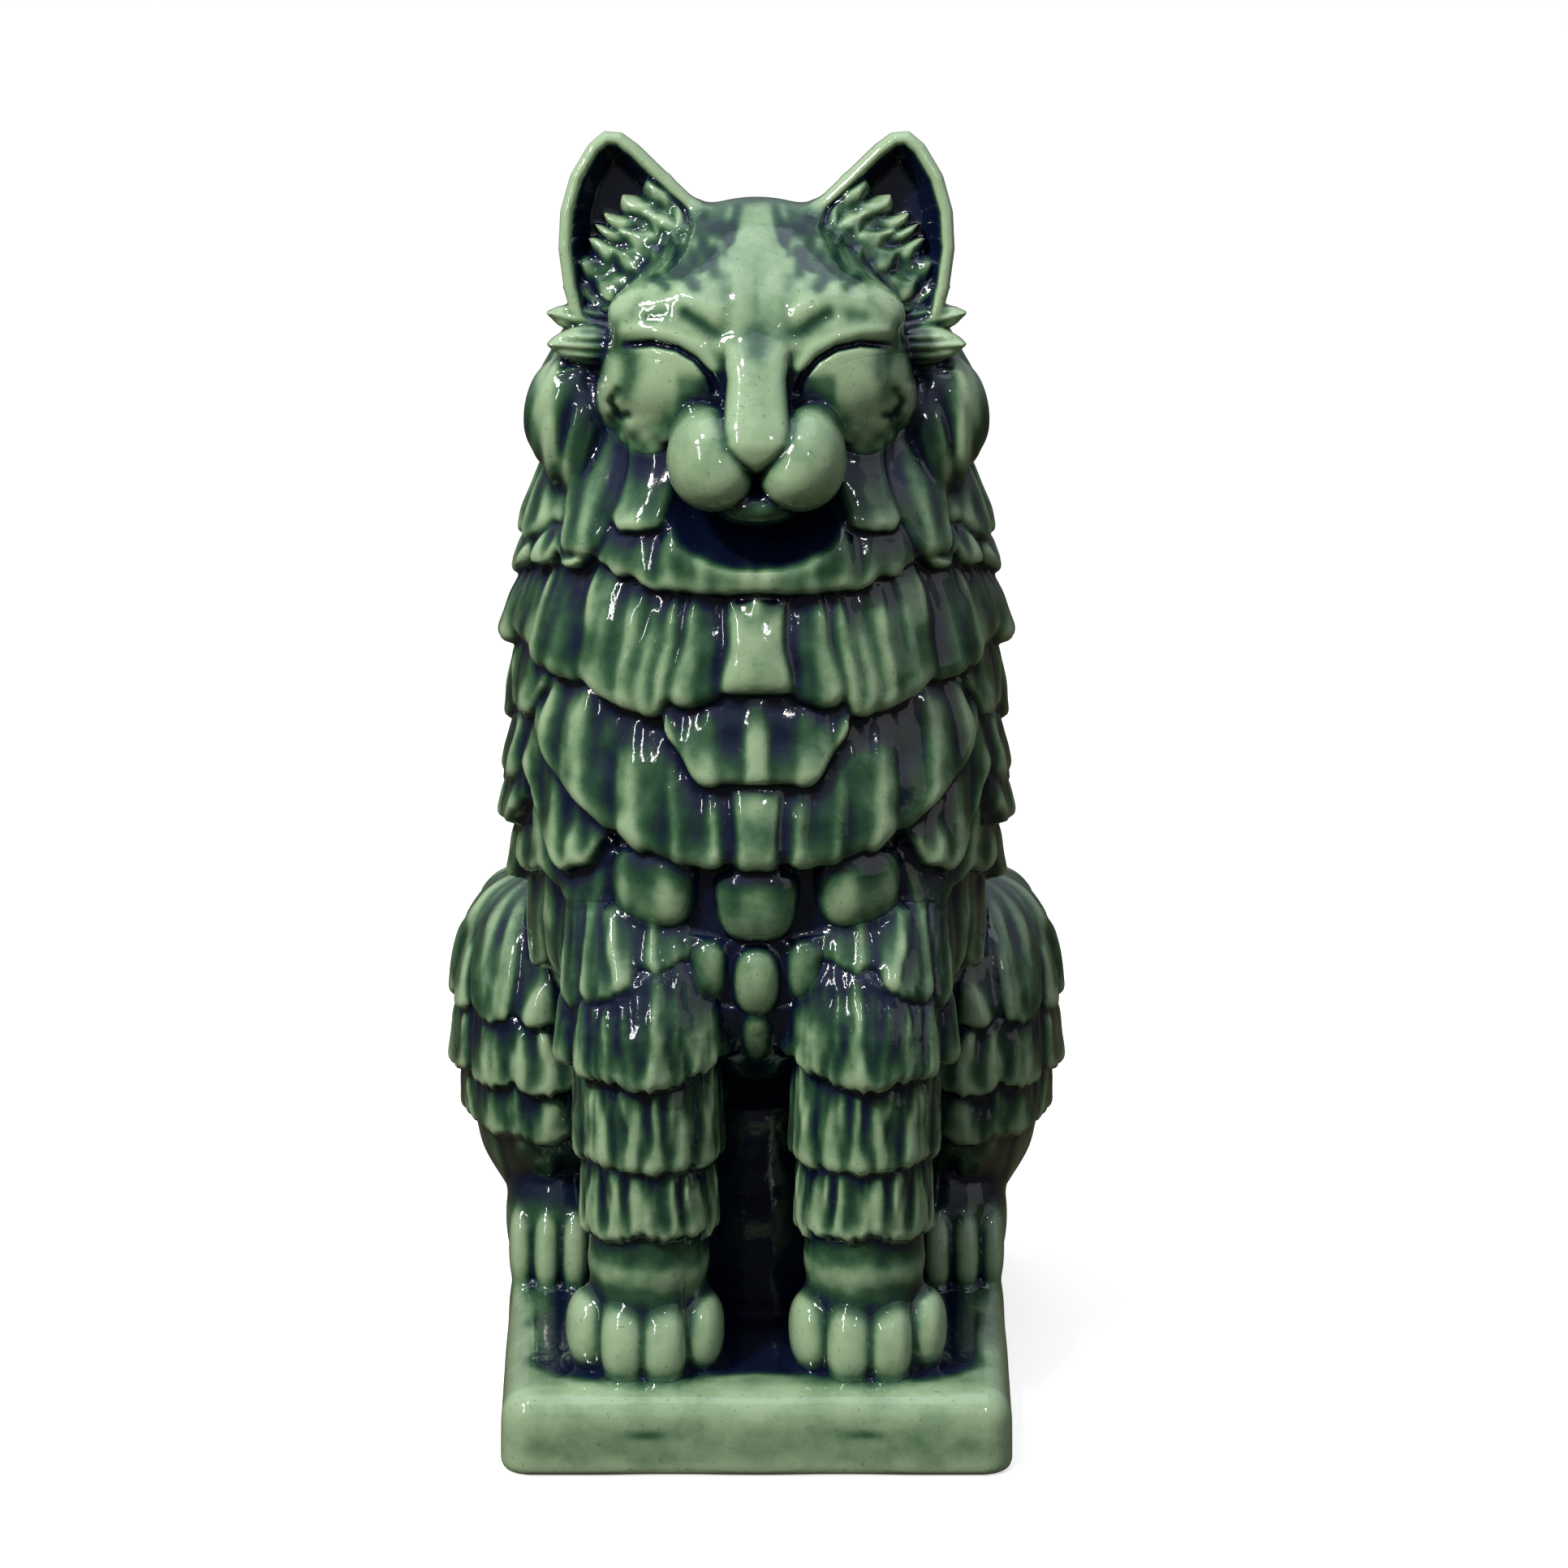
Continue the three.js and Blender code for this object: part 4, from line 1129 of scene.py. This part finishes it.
def build():
    coarse = 1.0
    body = Grid((0, -118, -6), (110, 118, 330), BODY_STEP * coarse)
    head = Grid((0, -116, 280), (84, 34, 404), HEAD_STEP * coarse)
    for i, part in enumerate(PARTS):
        body.add(i, part)
        head.add(i, part)
    x, y, z = head.places((slice(None),) * 3)
    facing = smooth((-52 - y) / 10) * np.exp(-np.clip(np.abs(head.whole) - 4, 0, 9))
    head.whole += on_face(FACE_CUT, x, z) * facing.astype(F)
    body.settle()
    head.settle()
    for i, part in enumerate(PARTS):
        grid = head if part.grid == "head" else body
        for node in part.owners:
            lateral = node.startswith("left_")
            field, spans = piece_field(grid, i, node)
            points, quads = surface(grid, field, spans, lateral)
            points, quads = largest(points, quads)
            if volume(points, quads) > 0:
                quads = quads[:, ::-1]
            attributes = {"shade": grid.sample(grid.shade, points)}
            for name, fill in grid.fill.items():
                attributes[name] = grid.sample(fill, points)
            sides = (("", False), ("right_" + node[5:], True)) if lateral else (("", False),)
            for other, flip in sides:
                name = other or node
                piece = make_piece("glazed_" + name, points, quads, attributes, flip)
                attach(piece, "root")
                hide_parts(name)


build()


# ---- Glaze ----
def glaze_material():
    material = bpy.data.materials.new("celadon_over_stoneware")
    material.use_nodes = True
    nodes, links = material.node_tree.nodes, material.node_tree.links
    nodes.clear()

    def node(kind, **values):
        made = nodes.new(kind)
        for key, value in values.items():
            if hasattr(made, key):
                setattr(made, key, value)
            else:
                made.inputs[key.replace("_", " ")].default_value = value
        return made

    def attribute(name):
        return node("ShaderNodeAttribute", attribute_name=name).outputs["Fac"]

    def math_node(operation, a, b=0.0, c=0.0):
        made = nodes.new("ShaderNodeMath")
        made.operation = operation
        for socket, value in zip(made.inputs, (a, b, c)):
            if isinstance(value, (int, float)):
                socket.default_value = value
            else:
                links.new(value, socket)
        return made.outputs[0]

    coords = node("ShaderNodeTexCoord").outputs["Object"]

    def noise(scale, detail=3.0, rough=0.55, stretch=(1, 1, 1)):
        mapping = nodes.new("ShaderNodeMapping")
        mapping.inputs["Scale"].default_value = stretch
        links.new(coords, mapping.inputs["Vector"])
        made = node("ShaderNodeTexNoise", Scale=scale, Detail=detail, Roughness=rough)
        links.new(mapping.outputs[0], made.inputs["Vector"])
        return made.outputs["Fac"]

    fine, wide, broad = attribute("fine"), attribute("wide"), attribute("broad")
    level = attribute("shade")
    # darker in hollows and paler on crests, from how full the form is at three scales: partly glaze
    # pooling, partly painted shade in the hollows
    for source, share in ((fine, -3.2), (wide, -3.0), (broad, -1.6), (noise(95, 4), 0.9),
                          (noise(330, 3), 0.45)):
        level = math_node("MULTIPLY_ADD", math_node("SUBTRACT", source, 0.5), share, level)
    ramp = nodes.new("ShaderNodeValToRGB")
    links.new(math_node("MULTIPLY_ADD", level, 0.4, 0.45), ramp.inputs[0])
    stops = [(0.0, (0.0030, 0.0058, 0.023)), (0.17, (0.0058, 0.0130, 0.029)),
        (0.31, (0.0105, 0.030, 0.026)), (0.45, (0.0210, 0.062, 0.031)),
        (0.59, (0.050, 0.114, 0.058)),
             (0.73, (0.128, 0.218, 0.120)), (0.87, (0.218, 0.320, 0.186)), (1.0,
                 (0.280, 0.392, 0.236))]
    elements = ramp.color_ramp.elements
    for at, colour in stops[1:-1]:
        elements.new(at)
    for stop, (at, colour) in zip(elements, stops):
        stop.position = at
        stop.color = (*colour, 1)
    speck = math_node("GREATER_THAN", noise(700, 1, 0.4), 0.72)
    mix = node("ShaderNodeMix", data_type="RGBA")
    links.new(math_node("MULTIPLY", speck, 0.35), mix.inputs["Factor"])
    links.new(ramp.outputs[0], mix.inputs["A"])
    mix.inputs["B"].default_value = (0.03, 0.06, 0.035, 1)
    shader = nodes.new("ShaderNodeBsdfPrincipled")
    links.new(mix.outputs["Result"], shader.inputs["Base Color"])
    rough = math_node("MULTIPLY_ADD", noise(60, 3), 0.12, 0.03)
    links.new(rough, shader.inputs["Roughness"])
    shader.inputs["IOR"].default_value = 1.5
    shader.inputs["Coat Weight"].default_value = 0.3
    shader.inputs["Coat Roughness"].default_value = 0.04
    bump = nodes.new("ShaderNodeBump")
    bump.inputs["Strength"].default_value = 0.35
    bump.inputs["Distance"].default_value = 0.0006
    links.new(math_node("ADD", noise(160, 3), math_node("MULTIPLY", noise(45, 2), 2.0)),
        bump.inputs["Height"])
    links.new(bump.outputs[0], shader.inputs["Normal"])
    out = nodes.new("ShaderNodeOutputMaterial")
    links.new(shader.outputs[0], out.inputs[0])
    return material


glaze = glaze_material()
for piece in MADE:
    piece.data.materials.append(glaze)

# ---- Stage ----
low, high = CAD_BOX
tall = high[2] - low[2]
floor_mesh = bpy.data.meshes.new("floor")
FLAT, BEND, TOP, TURNS = 2.0, 1.2, 2.2, 72   # m: flat radius, bend, height of the cove's wall
cove = [(0.01, 0.0), (FLAT, 0.0)]
cove += [(FLAT + BEND * math.sin(a), BEND * (1 - math.cos(a)))
         for a in np.radians(np.arange(7.5, 91, 7.5))] + [(3.2, TOP)]
rings = [(r * math.cos(a), r * math.sin(a), z)
         for r, z in cove for a in np.radians(np.arange(0, 360, 360 / TURNS))]
faces = []
for i in range(len(cove) - 1):
    for k in range(TURNS):
        here, after = i * TURNS, (i + 1) * TURNS
        turn = (k + 1) % TURNS
        faces.append((here + k, here + turn, after + turn, after + k))
floor_mesh.from_pydata(rings, [], faces)
floor_mesh.polygons.foreach_set("use_smooth", [True] * len(floor_mesh.polygons))
floor = bpy.data.objects.new("floor", floor_mesh)
bpy.context.collection.objects.link(floor)
paper = bpy.data.materials.new("pale_paper")
paper.use_nodes = True
shader = paper.node_tree.nodes["Principled BSDF"]
shader.inputs["Base Color"].default_value = (0.88, 0.87, 0.84, 1)
shader.inputs["Roughness"].default_value = 0.7
shader.inputs["Emission Color"].default_value = (1.0, 0.985, 0.95, 1)
shader.inputs["Emission Strength"].default_value = 0.62
floor_mesh.materials.append(paper)
floor.visible_glossy = False
floor.visible_diffuse = False

world = bpy.data.worlds.new("studio")
world.use_nodes = True
nodes, links = world.node_tree.nodes, world.node_tree.links
coords = nodes.new("ShaderNodeTexCoord")
axes = nodes.new("ShaderNodeSeparateXYZ")
links.new(coords.outputs["Generated"], axes.inputs[0])
sky = nodes.new("ShaderNodeValToRGB")
links.new(axes.outputs["Z"], sky.inputs[0])
sky.color_ramp.elements[0].position = 0.0
sky.color_ramp.elements[0].color = (0.10, 0.095, 0.06, 1)
sky.color_ramp.elements[1].position = 0.75
sky.color_ramp.elements[1].color = (0.66, 0.71, 0.86, 1)
links.new(sky.outputs[0], nodes["Background"].inputs[0])
nodes["Background"].inputs[1].default_value = 0.65
bpy.context.scene.world = world


# name, place, width, height, watts, colour
LIGHTS = [("key", (-0.98, -1.02, 1.52), 0.20, 0.20, 35, (1.0, 0.97, 0.92)),
          ("strip", (-0.85, -1.25, 0.95), 0.05, 0.5, 4.0, (1.0, 0.99, 0.97)),
          ("glint", (-0.40, -0.80, 1.55), 0.09, 0.09, 3.0, (1.0, 0.99, 0.97)),
          ("spark", (0.45, -1.35, 1.0), 0.05, 0.05, 0.9, (1.0, 0.99, 0.97)),
          ("sky", (0.1, -0.3, 1.9), 1.4, 1.4, 7.5, (0.80, 0.86, 1.0)),
          ("fill", (1.4, -0.8, 0.7), 1.2, 1.2, 1.8, (1.0, 0.97, 0.86))]
aim = Vector((0, 0, tall * 0.55))
for name, place, width, height, power, colour in LIGHTS:
    data = bpy.data.lights.new(name, "AREA")
    data.shape = "RECTANGLE"
    data.size, data.size_y, data.energy, data.color = width, height, power, colour
    lamp = bpy.data.objects.new(name, data)
    lamp.location = place
    lamp.rotation_euler = (lamp.location - aim).to_track_quat("Z", "Y").to_euler()
    bpy.context.collection.objects.link(lamp)

camera_data = bpy.data.cameras.new("camera")
camera_data.lens = 75.6
camera_data.sensor_width = 36
camera_data.shift_x = 0.0175
camera = bpy.data.objects.new("camera", camera_data)
pitch, distance, target = math.radians(11), 1.062, Vector((0, 0, 0.1938))
camera.location = target + Vector((0, -distance * math.cos(pitch), distance * math.sin(pitch)))
camera.rotation_euler = (math.pi / 2 - pitch, 0, 0)
bpy.context.collection.objects.link(camera)
bpy.context.scene.camera = camera
bpy.context.scene.view_settings.view_transform = "Standard"
